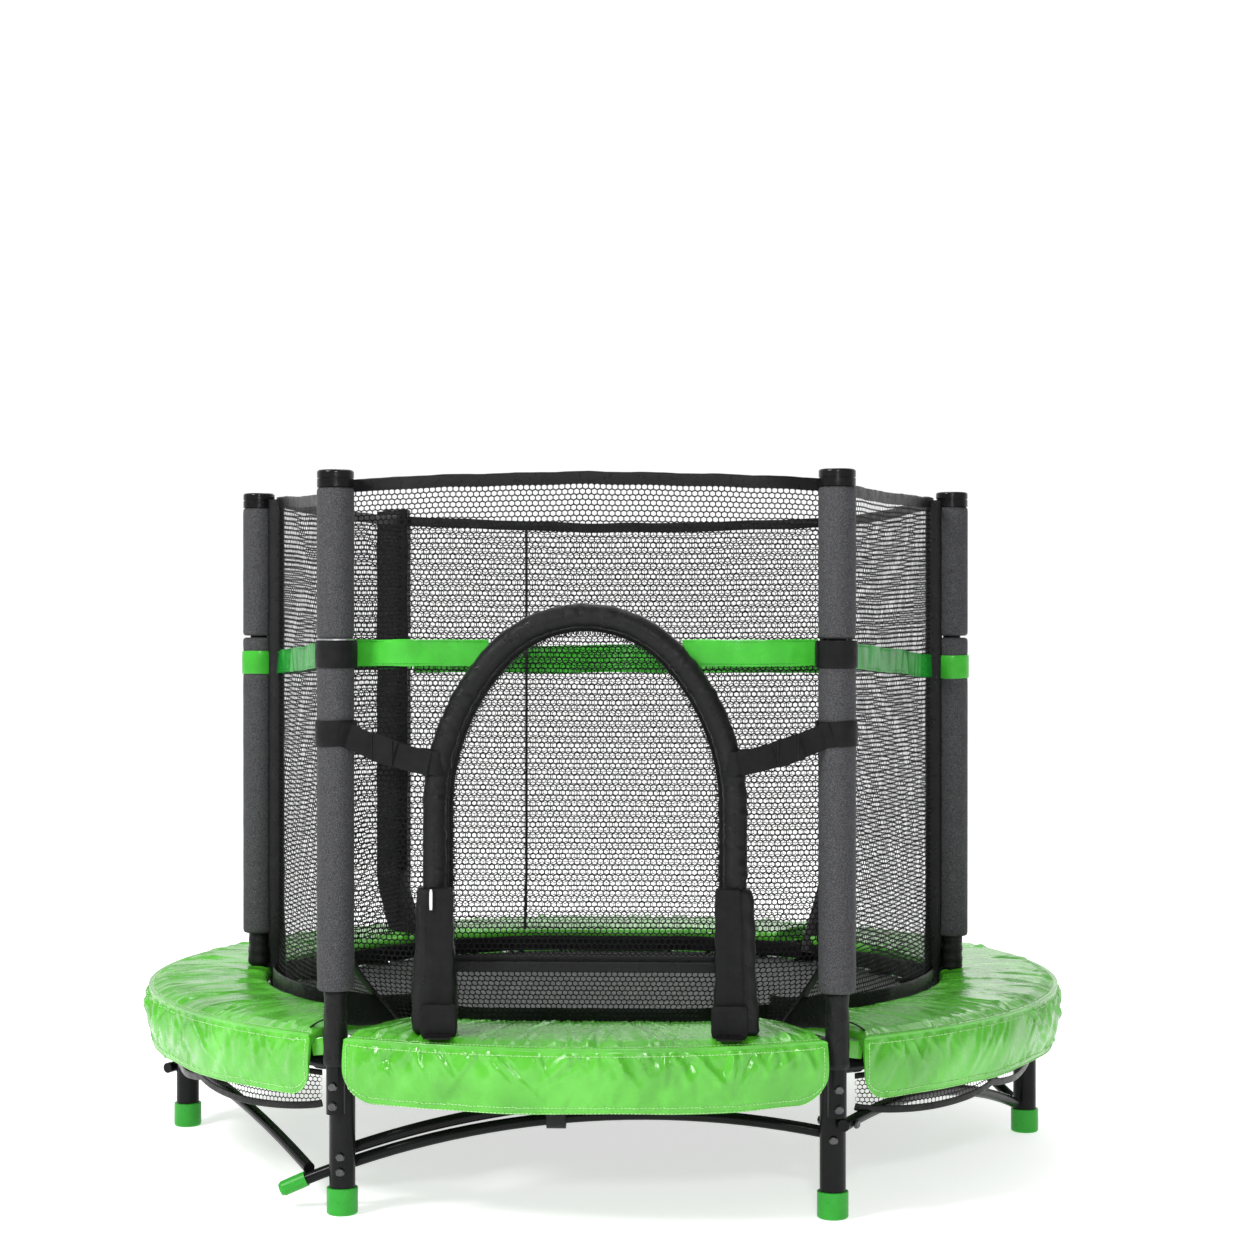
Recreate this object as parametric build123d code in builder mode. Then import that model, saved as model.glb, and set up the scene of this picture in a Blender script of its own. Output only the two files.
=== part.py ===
"""Child's round trampoline with a net enclosure, as an assembly of separate pieces.

Frame: millimetres, +Z up, origin on the floor at the centre, front (the gate) towards -Y.
"""

import os
from math import cos, radians, sin

from build123d import *

os.makedirs("parts", exist_ok=True)

# ---------------------------------------------------------------- driving dimensions
PAD_R = 700.0  # outside radius of the padded skirt
RING_R = 655.0  # centre radius of the frame ring, and of the circle of legs
RING_TUBE_R = 15.5
RING_Z = 208.0
TUBE_WALL = 1.8
LEG_R = 17.5
LEG_BOTTOM_Z = 4.0
FOOT_R = 21.0
FOOT_H = 36.0
SOCKET_R = 17.8  # outside radius of the sleeve that joins two ring tubes
SOCKET_HALF_DEG = 3.5
POLE_R = 12.5
POLE_UPPER_R = 13.5
POLE_BOTTOM_Z = 140.0
POLE_JOINT_Z = 264.0
POLE_NECK = 36.0
POLE_TOP_Z = 969.0
POLE_GAP = 33.2  # pole axis to leg axis where they are bolted side by side
SIDE_POLE_R = 542.0  # the side poles stand inboard, beside the mat
FOAM_R = 25.0
FOAM_BOTTOM_Z = 304.0
FOAM_SPLIT_Z = 767.0
FOAM_SPLIT_GAP = 3.0
FOAM_TOP_Z = 970.0
POLE_CAP_R = 24.5
POLE_CAP_TOP_Z = 993.0
MAT_R = 515.0
MAT_T = 4.0
SPRING_R = 7.5
SPRING_INNER_R = 528.0
PAD_TOP_Z = 250.0
PAD_BOTTOM_Z = 228.0
PAD_INNER_R = 520.0
PAD_INNER_Y = 500.0  # the opening in the pad is flattened at the front and the back
PAD_END_GAPS = (22.0, 35.0)  # from a pole's line to the end of the pad in front of it, and beside it
SKIRT_T = 5.0
SKIRT_BOTTOM_Z = 158.0
NET_T = 3.0
NET_BOTTOM_Z = 262.0
NET_TOP_Z = 966.0
NET_KNEE_Z = 330.0
GATE_NET_Y = -600.0  # outer face of the net beside the gate
GATE_NET_HALF_W = 303.0
DOOR_BACK = 8.0  # the door hangs this far inside the net's outer face
BELT_Z = 742.0
BELT_H = 36.0
BELT_T = 1.6
ARCH_R = 16.5  # padded sleeve on the gate rod
ARCH_HALF_W = 197.5
ARCH_SPRING_Z = 545.0  # height where the gate's legs start to curve
ARCH_TOP_Z = 800.5
ARCH_CROWN_R = 160.0
ARCH_BOTTOM_Z = 258.0
ARCH_Y = -622.0
GATE_ROD_R = 4.5
STRAP_T = 2.2
CUFF_TOP_Z = 443.0
BRACE_R = 8.0
SIDE_OFFSET = 26.0  # side braces run this far outboard of the line between two legs
LONG_OFFSET = 26.0  # the front and back braces run this far behind their legs
BRACE_APEX_X = 85.0  # highest point of a front or back brace
BRACE_APEX_Z = 131.0
BRACE_BEND_R = 1180.0
BRACE_LIFT = 20.0  # the short brace lies over the long one
BEYOND = -0.03  # a side brace runs on past its leg by this share of the distance to the next
SIDE_BRACE_END = 0.915  # and stops here, beside the cup on the front brace
BOLT_R = 3.0
FIT = 0.3

# ---------------------------------------------------------------- layout
FRONT_LEG_DEG = 30.0  # front legs, each side of -Y
BACK_LEG_DEG = 35.0  # back legs, each side of +Y


def polar(radius, angle):
    """A plan point at an angle in degrees from +X."""
    return Vector(radius * cos(radians(angle)), radius * sin(radians(angle)), 0)


LEG_ANGLES = {
    "front_left": -90.0 - FRONT_LEG_DEG,
    "front_right": -90.0 + FRONT_LEG_DEG,
    "right": 0.0,
    "back_right": 90.0 - BACK_LEG_DEG,
    "back_left": 90.0 + BACK_LEG_DEG,
    "left": 180.0,
}
LEGS = {name: polar(RING_R, angle) for name, angle in LEG_ANGLES.items()}
# the way from each leg's axis to its pole's axis
POLE_SIDES = {
    "front_left": polar(1, -97.0),
    "front_right": polar(1, -83.0),
    "right": Vector(-1, 0, 0),
    "back_right": polar(1, LEG_ANGLES["back_right"]),
    "back_left": polar(1, LEG_ANGLES["back_left"]),
    "left": Vector(1, 0, 0),
}
POLES = {
    name: LEGS[name] + POLE_SIDES[name] * (RING_R - SIDE_POLE_R if name in ("left", "right") else POLE_GAP)
    for name in LEGS
}
BOLTED = ("front_left", "front_right", "back_right", "back_left")
AROUND = ("left", "front_left", "front_right", "right", "back_right", "back_left")
POLE_BOLT_Z = (152.0, 178.0)


def up(point, z):
    """A plan point lifted to a height."""
    return Vector(point.X, point.Y, z)


def finish(builder, label):
    """Label a finished piece and write it."""
    builder.part.label = label
    export_step(builder.part, f"parts/{label}.step")


def drill(point, direction, radius=BOLT_R + 0.2, length=200.0):
    """Cut a round hole through the piece being built, centred on a point."""
    with BuildSketch(Plane(origin=point, z_dir=direction)) as hole:
        Circle(radius)
    extrude(hole.sketch, amount=length / 2, both=True, mode=Mode.SUBTRACT)


# ---------------------------------------------------------------- frame ring, legs and feet
def ring_section(radius_out, radius_in, angle):
    """Section of a tube that follows the frame circle, standing at an angle from +X."""
    section_plane = Plane(
        origin=up(polar(RING_R, angle), RING_Z), x_dir=polar(1, angle), z_dir=polar(1, angle + 90)
    )
    with BuildSketch(section_plane) as section:
        Circle(radius_out)
        if radius_in > 0:
            Circle(radius_in, mode=Mode.SUBTRACT)
    return section.sketch


def ring_tube(label, start, end):
    """One bent tube of the frame ring; its ends meet inside the leg sockets."""
    with BuildPart() as tube:
        section = ring_section(RING_TUBE_R, RING_TUBE_R - TUBE_WALL, start)
        revolve(section, axis=Axis.Z, revolution_arc=end - start)
    finish(tube, label)


def leg(name):
    """An upright tube with a socket across its top that grips the frame ring."""
    foot = LEGS[name]
    angle = LEG_ANGLES[name]
    with BuildPart() as post:
        with BuildSketch(Plane.XY.offset(LEG_BOTTOM_Z)):
            with Locations(foot):
                Circle(LEG_R)
        extrude(amount=RING_Z - LEG_BOTTOM_Z)
        socket = ring_section(SOCKET_R, 0, angle - SOCKET_HALF_DEG)
        revolve(socket, axis=Axis.Z, revolution_arc=2 * SOCKET_HALF_DEG)
        bore = ring_section(RING_TUBE_R + FIT, 0, angle - 2 * SOCKET_HALF_DEG)
        revolve(bore, axis=Axis.Z, revolution_arc=4 * SOCKET_HALF_DEG, mode=Mode.SUBTRACT)
        with BuildSketch(Plane.XY.offset(LEG_BOTTOM_Z)):
            with Locations(foot):
                Circle(LEG_R - TUBE_WALL)
        extrude(amount=RING_Z - RING_TUBE_R - LEG_BOTTOM_Z - 4, mode=Mode.SUBTRACT)
        if name in BOLTED:
            for z in POLE_BOLT_Z:
                drill(up(foot, z), POLE_SIDES[name], length=4 * LEG_R)
        for point, direction, _ in BRACE_HOLES[name]:
            drill(point, direction, length=4 * LEG_R)
    finish(post, f"leg_{name}")


def foot_caps():
    """Six moulded cups that the legs stand in."""
    with BuildPart() as caps:
        with BuildSketch():
            with Locations(*LEGS.values()):
                Circle(FOOT_R)
        extrude(amount=FOOT_H)
        fillet(caps.edges().filter_by(GeomType.CIRCLE).group_by(Axis.Z)[0], 3.5)
        fillet(caps.edges().filter_by(GeomType.CIRCLE).group_by(Axis.Z)[-1], 1.2)
        with BuildSketch(Plane.XY.offset(LEG_BOTTOM_Z)):
            with Locations(*LEGS.values()):
                Circle(LEG_R + 0.1)
        extrude(amount=FOOT_H, mode=Mode.SUBTRACT)
    finish(caps, "foot_caps")


# ---------------------------------------------------------------- enclosure poles
def pole_lower(name):
    """Black base tube of a pole, with a swaged neck for the upper tube."""
    place = POLES[name]
    with BuildPart() as tube:
        with BuildSketch(Plane.XY.offset(POLE_BOTTOM_Z)):
            with Locations(place):
                Circle(POLE_R)
        extrude(amount=POLE_JOINT_Z - POLE_BOTTOM_Z)
        with BuildSketch(Plane.XY.offset(POLE_JOINT_Z)):
            with Locations(place):
                Circle(POLE_R - 1.5)
        extrude(amount=POLE_NECK)
        with BuildSketch(Plane.XY.offset(POLE_BOTTOM_Z)):
            with Locations(place):
                Circle(POLE_R - 1.5 - 1.4)
        extrude(amount=POLE_JOINT_Z + POLE_NECK - POLE_BOTTOM_Z, mode=Mode.SUBTRACT)
        if name in BOLTED:
            for z in POLE_BOLT_Z:
                drill(up(place, z), POLE_SIDES[name], length=4 * POLE_R)
        else:
            drill(up(place, POLE_BOLT_Z[0]), Vector(0, 1, 0), length=4 * POLE_R)
    finish(tube, f"pole_lower_{name}")


def pole_upper(name):
    """Long tube of a pole, inside its foam sleeves."""
    with BuildPart() as tube:
        with BuildSketch(Plane.XY.offset(POLE_JOINT_Z)):
            with Locations(POLES[name]):
                Circle(POLE_UPPER_R)
                Circle(POLE_R - 1.5 + 0.1, mode=Mode.SUBTRACT)
        extrude(amount=POLE_TOP_Z - POLE_JOINT_Z)
    finish(tube, f"pole_upper_{name}")


def foam_sleeves(label, low, high):
    """Six foam tubes, one round each pole."""
    with BuildPart() as foam:
        with BuildSketch(Plane.XY.offset(low)):
            with Locations(*POLES.values()):
                Circle(FOAM_R)
                Circle(POLE_UPPER_R + FIT, mode=Mode.SUBTRACT)
        extrude(amount=high - low)
    finish(foam, label)


def pole_caps():
    """Six round caps, each with a plug that fits inside its pole."""
    with BuildPart() as caps:
        with BuildSketch(Plane.XY.offset(FOAM_TOP_Z)):
            with Locations(*POLES.values()):
                Circle(POLE_CAP_R)
        extrude(amount=POLE_CAP_TOP_Z - FOAM_TOP_Z)
        fillet(caps.edges().filter_by(GeomType.CIRCLE).group_by(Axis.Z)[-1], 3.5)
        with BuildSketch(Plane.XY.offset(FOAM_TOP_Z + 11)):
            with Locations(*POLES.values()):
                Circle(POLE_CAP_R + 1)
                Circle(POLE_CAP_R - 1.2, mode=Mode.SUBTRACT)
        extrude(amount=1.6, mode=Mode.SUBTRACT)
        with BuildSketch(Plane.XY.offset(FOAM_TOP_Z - 24)):
            with Locations(*POLES.values()):
                Circle(POLE_R - 1.5 - 0.2)
        extrude(amount=25)
    finish(caps, "pole_caps")


def side_pole_bracket(name):
    """Collar round a side leg, with an arm to the socket that holds the inboard pole."""
    collar_z, collar_h = 142.0, 40.0
    arm_r, socket_r = 9.0, 16.0
    place, foot = POLES[name], LEGS[name]
    with BuildPart() as bracket:
        with BuildSketch(Plane.XY.offset(collar_z)):
            with Locations(foot):
                Circle(LEG_R + 3.2)
            with Locations(place):
                Circle(socket_r)
        extrude(amount=collar_h)
        with BuildSketch(Plane(origin=up(place, collar_z + collar_h / 2), z_dir=-POLE_SIDES[name])):
            Circle(arm_r)
        extrude(amount=(foot - place).length)
        with BuildSketch(Plane.XY.offset(collar_z - 1)):
            with Locations(foot):
                Circle(LEG_R + 0.1)
        extrude(amount=collar_h + 2, mode=Mode.SUBTRACT)
        with BuildSketch(Plane.XY.offset(POLE_BOTTOM_Z - 1)):
            with Locations(place):
                Circle(POLE_R + 0.1)
        extrude(amount=collar_h + 10, mode=Mode.SUBTRACT)
        drill(up(place, POLE_BOLT_Z[0]), Vector(0, 1, 0), length=4 * socket_r)
    finish(bracket, f"side_pole_bracket_{name}")


# ---------------------------------------------------------------- fasteners
def bolt(seat, direction, length):
    """A domed bolt with its head outside the seat, and a nut at the far end."""
    nut_at = seat - direction * length
    with BuildSketch(Plane(origin=seat, z_dir=direction)) as head:
        Circle(2 * BOLT_R)
    extrude(head.sketch, amount=0.8 * BOLT_R)
    with BuildSketch(Plane(origin=seat + direction * 0.8 * BOLT_R, z_dir=direction)) as dome:
        Circle(2 * BOLT_R)
    extrude(dome.sketch, amount=0.7 * BOLT_R, taper=35)
    with BuildSketch(Plane(origin=seat, z_dir=-direction)) as shank:
        Circle(BOLT_R)
    extrude(shank.sketch, amount=length + 4)
    with BuildSketch(Plane(origin=nut_at, z_dir=-direction)) as nut:
        RegularPolygon(1.9 * BOLT_R, 6)
    extrude(nut.sketch, amount=0.9 * BOLT_R)


def pole_bolts():
    """Bolts that hold each pole to its leg or bracket."""
    with BuildPart() as bolts:
        for name in BOLTED:
            for z in POLE_BOLT_Z:
                side = POLE_SIDES[name]
                bolt(up(POLES[name] + side * (POLE_R + 0.1), z), side, POLE_R + POLE_GAP + LEG_R + 0.3)
        for name in ("left", "right"):
            bolt(up(POLES[name] + Vector(0, -16.1, 0), POLE_BOLT_Z[0]), Vector(0, -1, 0), 32.2)
    finish(bolts, "pole_bolts")


# ---------------------------------------------------------------- arched braces
FRONT_Y = LEGS["front_left"].Y + LONG_OFFSET
BACK_Y = LEGS["back_left"].Y + LONG_OFFSET


def brace_height(x):
    """Height of a long brace's axis, a shallow bow about its apex."""
    return BRACE_APEX_Z - (x - BRACE_APEX_X) ** 2 / (2 * BRACE_BEND_R)


def outward(a, b):
    """Unit vector that points out from the line between two legs."""
    along = (b - a).normalized()
    out = Vector(along.Y, -along.X, 0)
    return out if out.dot(a) > 0 else -out


def beside(a, b, fraction, z):
    """A point along the line between two legs, moved outboard of it."""
    return up(a + (b - a) * fraction + outward(a, b) * SIDE_OFFSET, z)


def long_line(y, xs, lift=0.0):
    """Three points of a front or back brace's arc."""
    return [Vector(x, y, brace_height(x) + lift) for x in xs]


def right_line(name, end):
    """Three points of a right-hand brace's arc, from a leg to the foot of the right leg."""
    start = beside(LEGS[name], LEGS["right"], BEYOND, 128.0)
    return [start, up(start + (end - start) * 0.45, 124.0), end]


BRACES = {
    "front_brace_long": long_line(FRONT_Y, (-411.0, 0.0, 342.0)),
    "front_brace_short": long_line(FRONT_Y, (-341.0, -200.0, -42.0), BRACE_LIFT),
    "left_front_brace": [
        beside(LEGS["left"], LEGS["front_left"], BEYOND, 114.0),
        beside(LEGS["left"], LEGS["front_left"], 0.47, 99.0),
        beside(LEGS["left"], LEGS["front_left"], SIDE_BRACE_END, 52.5),
    ],
    "right_front_brace": right_line("front_right", Vector(634.5, -30.0, 50.0)),
    "left_back_brace": [
        beside(LEGS["left"], LEGS["back_left"], BEYOND, 90.0),
        beside(LEGS["left"], LEGS["back_left"], 0.47, 78.0),
        beside(LEGS["left"], LEGS["back_left"], SIDE_BRACE_END, 41.0),
    ],
    "right_back_brace": right_line("back_right", Vector(634.5, 30.0, 50.0)),
    "back_brace_long": long_line(BACK_Y, (-455.0, 0.0, 390.0)),
    "back_brace_short": long_line(BACK_Y, (-390.0, -200.0, -42.0), BRACE_LIFT),
}


def long_hole(name, lift=0.0):
    """A front or back brace's bolt at a leg: its place, the way it points, and how far out the brace is."""
    foot = LEGS[name]
    if foot.Y < 0:
        return up(foot, brace_height(foot.X) + lift), Vector(0, -1, 0), -LONG_OFFSET
    return up(foot, brace_height(foot.X) + lift), Vector(0, 1, 0), LONG_OFFSET


def side_hole(name, other, z):
    """The same for a side brace."""
    return up(LEGS[name], z), outward(LEGS[name], LEGS[other]), SIDE_OFFSET


BRACE_HOLES = {
    "front_left": [long_hole("front_left"), long_hole("front_left", BRACE_LIFT)],
    "front_right": [long_hole("front_right"), side_hole("front_right", "right", 128.0)],
    "right": [],
    "back_right": [long_hole("back_right"), side_hole("back_right", "right", 128.0)],
    "back_left": [long_hole("back_left"), long_hole("back_left", BRACE_LIFT)],
    "left": [side_hole("left", "front_left", 114.0), side_hole("left", "back_left", 90.0)],
}


def brace(label):
    """A round bar bent to one arc in an upright plane."""
    start, middle, end = BRACES[label]
    with BuildPart() as bar:
        with BuildLine() as path:
            ThreePointArc(start, middle, end)
        with BuildSketch(Plane(origin=start, z_dir=path.line % 0)):
            Circle(BRACE_R)
        sweep()
        for name in LEGS:
            for point, direction, _ in BRACE_HOLES[name]:
                if min((up(point, 0) - up(tip, 0)).length for tip in (start, end)) < 120:
                    drill(point, direction, length=150)
    finish(bar, label)


def brace_fittings():
    """Cups on the free ends of the long braces."""
    with BuildPart() as cups:
        for label in ("front_brace_long", "back_brace_long"):
            start, middle, end = BRACES[label]
            arc = ThreePointArc(start, middle, end)
            with BuildSketch(Plane(origin=start, z_dir=arc % 0)):
                Circle(BRACE_R + 2.2)
            extrude(amount=34)
            with BuildSketch(Plane(origin=start, z_dir=-(arc % 0))):
                Circle(BRACE_R + 2.2)
            extrude(amount=4, taper=25)
            with BuildSketch(Plane(origin=start, z_dir=arc % 0)):
                Circle(BRACE_R + 0.7)
            extrude(amount=40, mode=Mode.SUBTRACT)
    finish(cups, "brace_end_cups")


def brace_bolts():
    """Bolts that hold the braces to the legs."""
    with BuildPart() as bolts:
        for holes in BRACE_HOLES.values():
            for point, direction, brace_at in holes:
                outer = max(LEG_R, brace_at + BRACE_R) + 0.1
                inner = min(-LEG_R, brace_at - BRACE_R) - 0.1
                bolt(point + direction * outer, direction, outer - inner)
    finish(bolts, "brace_bolts")


def brace_clamps():
    """Blocks that hold the short and the long brace together near the middle."""
    bore_r, wall_t, length = BRACE_R + 2.6, 3.0, 26.0
    with BuildPart() as clamps:
        for short, long_y in (("front_brace_short", FRONT_Y), ("back_brace_short", BACK_Y)):
            end = BRACES[short][2]
            seats = ((end.Y, end.Z), (long_y, brace_height(end.X)))
            with BuildSketch(Plane.YZ.offset(end.X - length / 2)) as block:
                with Locations(*seats):
                    Circle(bore_r + wall_t)
                make_hull()
                with Locations(*seats):
                    Circle(bore_r, mode=Mode.SUBTRACT)
            extrude(block.sketch, amount=length)
    finish(clamps, "brace_clamps")


# ---------------------------------------------------------------- jumping mat and its springs
def spring_angles():
    """Springs shared out evenly between each leg and the next, clear of the leg sockets."""
    angles = []
    around = sorted(angle % 360 for angle in LEG_ANGLES.values())
    for start, end in zip(around, around[1:] + [around[0] + 360]):
        count = int((end - start) // 9.5)
        angles += [start + (k + 0.5) * (end - start) / count for k in range(count)]
    return angles


def jump_mat():
    """Round woven bed."""
    with BuildPart() as bed:
        with BuildSketch(Plane.XY.offset(RING_Z - MAT_T / 2)):
            Circle(MAT_R)
        extrude(amount=MAT_T)
    finish(bed, "jump_mat")


def mat_rings():
    """Triangular wire rings sewn to the edge of the bed."""
    inner, outer, wire = MAT_R + 0.4, SPRING_INNER_R - 0.8, 2.4
    with BuildPart() as rings:
        with BuildSketch(Plane.XY.offset(RING_Z - wire / 2)):
            for angle in spring_angles():
                with Locations(Location((0, 0, 0), (0, 0, angle))):
                    Polygon((inner, -13), (inner, 13), (outer, 3), (outer, -3), align=None)
                    Polygon((inner + wire, -8), (inner + wire, 8), (outer - wire, 1.5),
                            (outer - wire, -1.5), align=None, mode=Mode.SUBTRACT)
        extrude(amount=wire)
    finish(rings, "mat_rings")


def springs():
    """Plain closed stand-ins for the coil springs and their hooks."""
    outer = RING_R - RING_TUBE_R - 0.5
    hook, hook_r = 12.0, 2.0
    with BuildPart() as coils:
        for angle in spring_angles():
            way = polar(1, angle)
            for start, end, radius in (
                (SPRING_INNER_R, SPRING_INNER_R + hook, hook_r),
                (SPRING_INNER_R + hook, outer - hook, SPRING_R),
                (outer - hook, outer, hook_r),
            ):
                with BuildSketch(Plane(origin=up(way * start, RING_Z), z_dir=way)) as section:
                    Circle(radius)
                extrude(section.sketch, amount=end - start)
    finish(coils, "springs")


# ---------------------------------------------------------------- padded cover
def pole_line(name, radius, offset):
    """A plan point on the line from the centre through a pole, moved sideways (anticlockwise)."""
    way = up(POLES[name], 0).normalized()
    return way * radius + Vector(-way.Y, way.X, 0) * offset


def pad(label, first, last, first_gap, last_gap):
    """A pad segment that runs anticlockwise from one pole to another, with its hanging skirt."""
    near, far = 300.0, 950.0
    middle = (pole_line(first, 1, 0) + pole_line(last, 1, 0)).normalized() * 2 * far
    corners = [
        pole_line(first, near, first_gap),
        pole_line(first, far, first_gap),
        middle,
        pole_line(last, far, -last_gap),
        pole_line(last, near, -last_gap),
    ]
    with BuildPart() as segment:
        with BuildSketch(Plane.XY.offset(PAD_BOTTOM_Z)):
            Circle(PAD_R)
            with BuildSketch(mode=Mode.PRIVATE) as opening:
                Circle(PAD_INNER_R)
                Rectangle(2 * PAD_R, 2 * PAD_INNER_Y, mode=Mode.INTERSECT)
            add(opening.sketch, mode=Mode.SUBTRACT)
            with Locations(POLES["left"], POLES["right"]):
                Circle(POLE_R + 3, mode=Mode.SUBTRACT)
            with BuildLine():
                Polyline(*[(c.X, c.Y) for c in corners], close=True)
            make_face(mode=Mode.INTERSECT)
        extrude(amount=PAD_TOP_Z - PAD_BOTTOM_Z)
        with BuildSketch(Plane.XY.offset(SKIRT_BOTTOM_Z)):
            Circle(PAD_R)
            Circle(PAD_R - SKIRT_T, mode=Mode.SUBTRACT)
            with BuildLine():
                Polyline(*[(c.X, c.Y) for c in corners], close=True)
            make_face(mode=Mode.INTERSECT)
        extrude(amount=PAD_TOP_Z - SKIRT_BOTTOM_Z)
    finish(segment, label)


# ---------------------------------------------------------------- safety net
def net_corner(name):
    """Where the net turns, on the inner side of a pole's foam."""
    way = up(POLES[name], 0).normalized()
    return POLES[name] - way * (FOAM_R + NET_T + 1)


def wall(start, end, low, high, thickness, outside=0.0):
    """An upright strip along a straight line in plan, its outer face moved out by a distance."""
    along = (end - start).normalized()
    out = Vector(along.Y, -along.X, 0)
    if out.dot(start + end) < 0:
        out = -out
    a, b = start + out * outside, end + out * outside
    with BuildSketch(Plane.XY.offset(low)) as section:
        Polygon(*[(c.X, c.Y) for c in (a, b, b - out * thickness, a - out * thickness)], align=None)
    extrude(section.sketch, amount=high - low)


def net_panel(label, first, last):
    """A flat net panel between two poles."""
    a, b = net_corner(first), net_corner(last)
    along = (b - a).normalized()
    with BuildPart() as panel:
        wall(a + along * 3, b - along * 3, NET_BOTTOM_Z, NET_TOP_Z, NET_T)
    finish(panel, label)


def arch_outline(half_width, top, foot_z, crown_r):
    """The gate's line: straight legs, wide shoulders and a tighter crown, in local X and Z."""
    rise = top - crown_r - ARCH_SPRING_Z
    shoulder_r = (rise**2 + half_width**2 - crown_r**2) / (2 * (half_width - crown_r))
    centre = shoulder_r - half_width
    scale = shoulder_r / (shoulder_r - crown_r)
    turn = (centre - centre * scale, ARCH_SPRING_Z + rise * scale)
    left = Line((-half_width, foot_z), (-half_width, ARCH_SPRING_Z))
    left_shoulder = RadiusArc((-half_width, ARCH_SPRING_Z), turn, shoulder_r)
    crown = RadiusArc(turn, (-turn[0], turn[1]), crown_r)
    right_shoulder = RadiusArc((-turn[0], turn[1]), (half_width, ARCH_SPRING_Z), shoulder_r)
    right = Line((half_width, ARCH_SPRING_Z), (half_width, foot_z))
    return [left, left_shoulder, crown, right_shoulder, right]


def doorway(half_width, top, foot_z):
    """A face with the gate's arched outline, standing on the XZ plane."""
    with BuildSketch(Plane.XZ) as face:
        with BuildLine():
            arch_outline(half_width, top, foot_z, ARCH_CROWN_R - (ARCH_HALF_W - half_width))
            Line((half_width, foot_z), (-half_width, foot_z))
        make_face()
    return face.sketch


DOOR_BOTTOM_Z = NET_KNEE_Z + 8
DOORWAY_HALF_W = ARCH_HALF_W - ARCH_R - 7
DOORWAY_TOP_Z = ARCH_TOP_Z - ARCH_R - 7
DOOR_OVERLAP = 9.0
HINGE_X = DOORWAY_HALF_W + DOOR_OVERLAP


def net_front():
    """Front net panel with the arched doorway; its foot slopes in to the edge of the mat."""
    out_y, in_y = GATE_NET_Y, -PAD_INNER_Y - 2
    with BuildPart() as panel:
        with BuildSketch(Plane.YZ) as profile:
            Polygon(
                (out_y, NET_TOP_Z),
                (out_y, NET_KNEE_Z),
                (in_y, NET_BOTTOM_Z),
                (in_y, NET_BOTTOM_Z + NET_T + 1),
                (out_y + NET_T, NET_KNEE_Z + NET_T),
                (out_y + NET_T, NET_TOP_Z),
                align=None,
            )
        extrude(profile.sketch, amount=GATE_NET_HALF_W, both=True)
        opening = doorway(DOORWAY_HALF_W, DOORWAY_TOP_Z, DOOR_BOTTOM_Z)
        extrude(opening, amount=2 * abs(GATE_NET_Y), mode=Mode.SUBTRACT)
    finish(panel, "net_front")


def gate_door():
    """Arched net door, a little larger than its doorway and hung behind it."""
    with BuildPart() as door:
        shape = doorway(HINGE_X, DOORWAY_TOP_Z + DOOR_OVERLAP, DOOR_BOTTOM_Z)
        moved = shape.moved(Location((0, GATE_NET_Y + DOOR_BACK, 0)))
        extrude(moved, amount=-NET_T)
    finish(door, "gate_door")


def gate_tube(label, radius_out, radius_in, foot_z):
    """A tube along the gate's arch."""
    with BuildPart() as tube:
        with BuildLine(Plane.XZ.offset(-ARCH_Y)) as path:
            arch_outline(ARCH_HALF_W, ARCH_TOP_Z, foot_z, ARCH_CROWN_R)
        for radius, mode in ((radius_out, Mode.ADD), (radius_in, Mode.SUBTRACT)):
            if radius > 0:
                with BuildSketch(Plane(origin=(-ARCH_HALF_W, ARCH_Y, foot_z), z_dir=(0, 0, 1))) as section:
                    Circle(radius)
                sweep(section.sketch, path=path.line, mode=mode)
    finish(tube, label)


def gate_cuffs():
    """Hook-and-loop cuffs round the gate's feet, each with a tongue that lies on the pad."""
    low = PAD_TOP_Z + 0.6
    back_y, front_y = GATE_NET_Y - 1.2, ARCH_Y - 22
    half_w, tongue, tongue_half_w, tongue_t = 27.0, 32.0, 17.0, 4.0
    with BuildPart() as cuffs:
        for x in (-ARCH_HALF_W, ARCH_HALF_W):
            with BuildSketch(Plane.XY.offset(low)) as box:
                with Locations((x, (back_y + front_y) / 2)):
                    RectangleRounded(2 * half_w, back_y - front_y, 6)
            extrude(box.sketch, amount=CUFF_TOP_Z - low)
            with BuildSketch(Plane.XY.offset(low)) as tab:
                with Locations((x, front_y - tongue / 2 + 4)):
                    Rectangle(2 * tongue_half_w, tongue + 8)
            extrude(tab.sketch, amount=tongue_t)
            with BuildSketch(Plane.XY.offset(ARCH_BOTTOM_Z - 0.5)) as hole:
                with Locations((x, ARCH_Y)):
                    Circle(ARCH_R + FIT)
            extrude(hole.sketch, amount=CUFF_TOP_Z, mode=Mode.SUBTRACT)
    finish(cuffs, "gate_cuffs")


def sleeve_ring(name, low, high, radius_in, radius_out):
    """A webbing ring round a pole's foam."""
    with BuildSketch(Plane.XY.offset(low)) as ring:
        with Locations(POLES[name]):
            Circle(radius_out)
            Circle(radius_in, mode=Mode.SUBTRACT)
    extrude(ring.sketch, amount=high - low)


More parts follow.
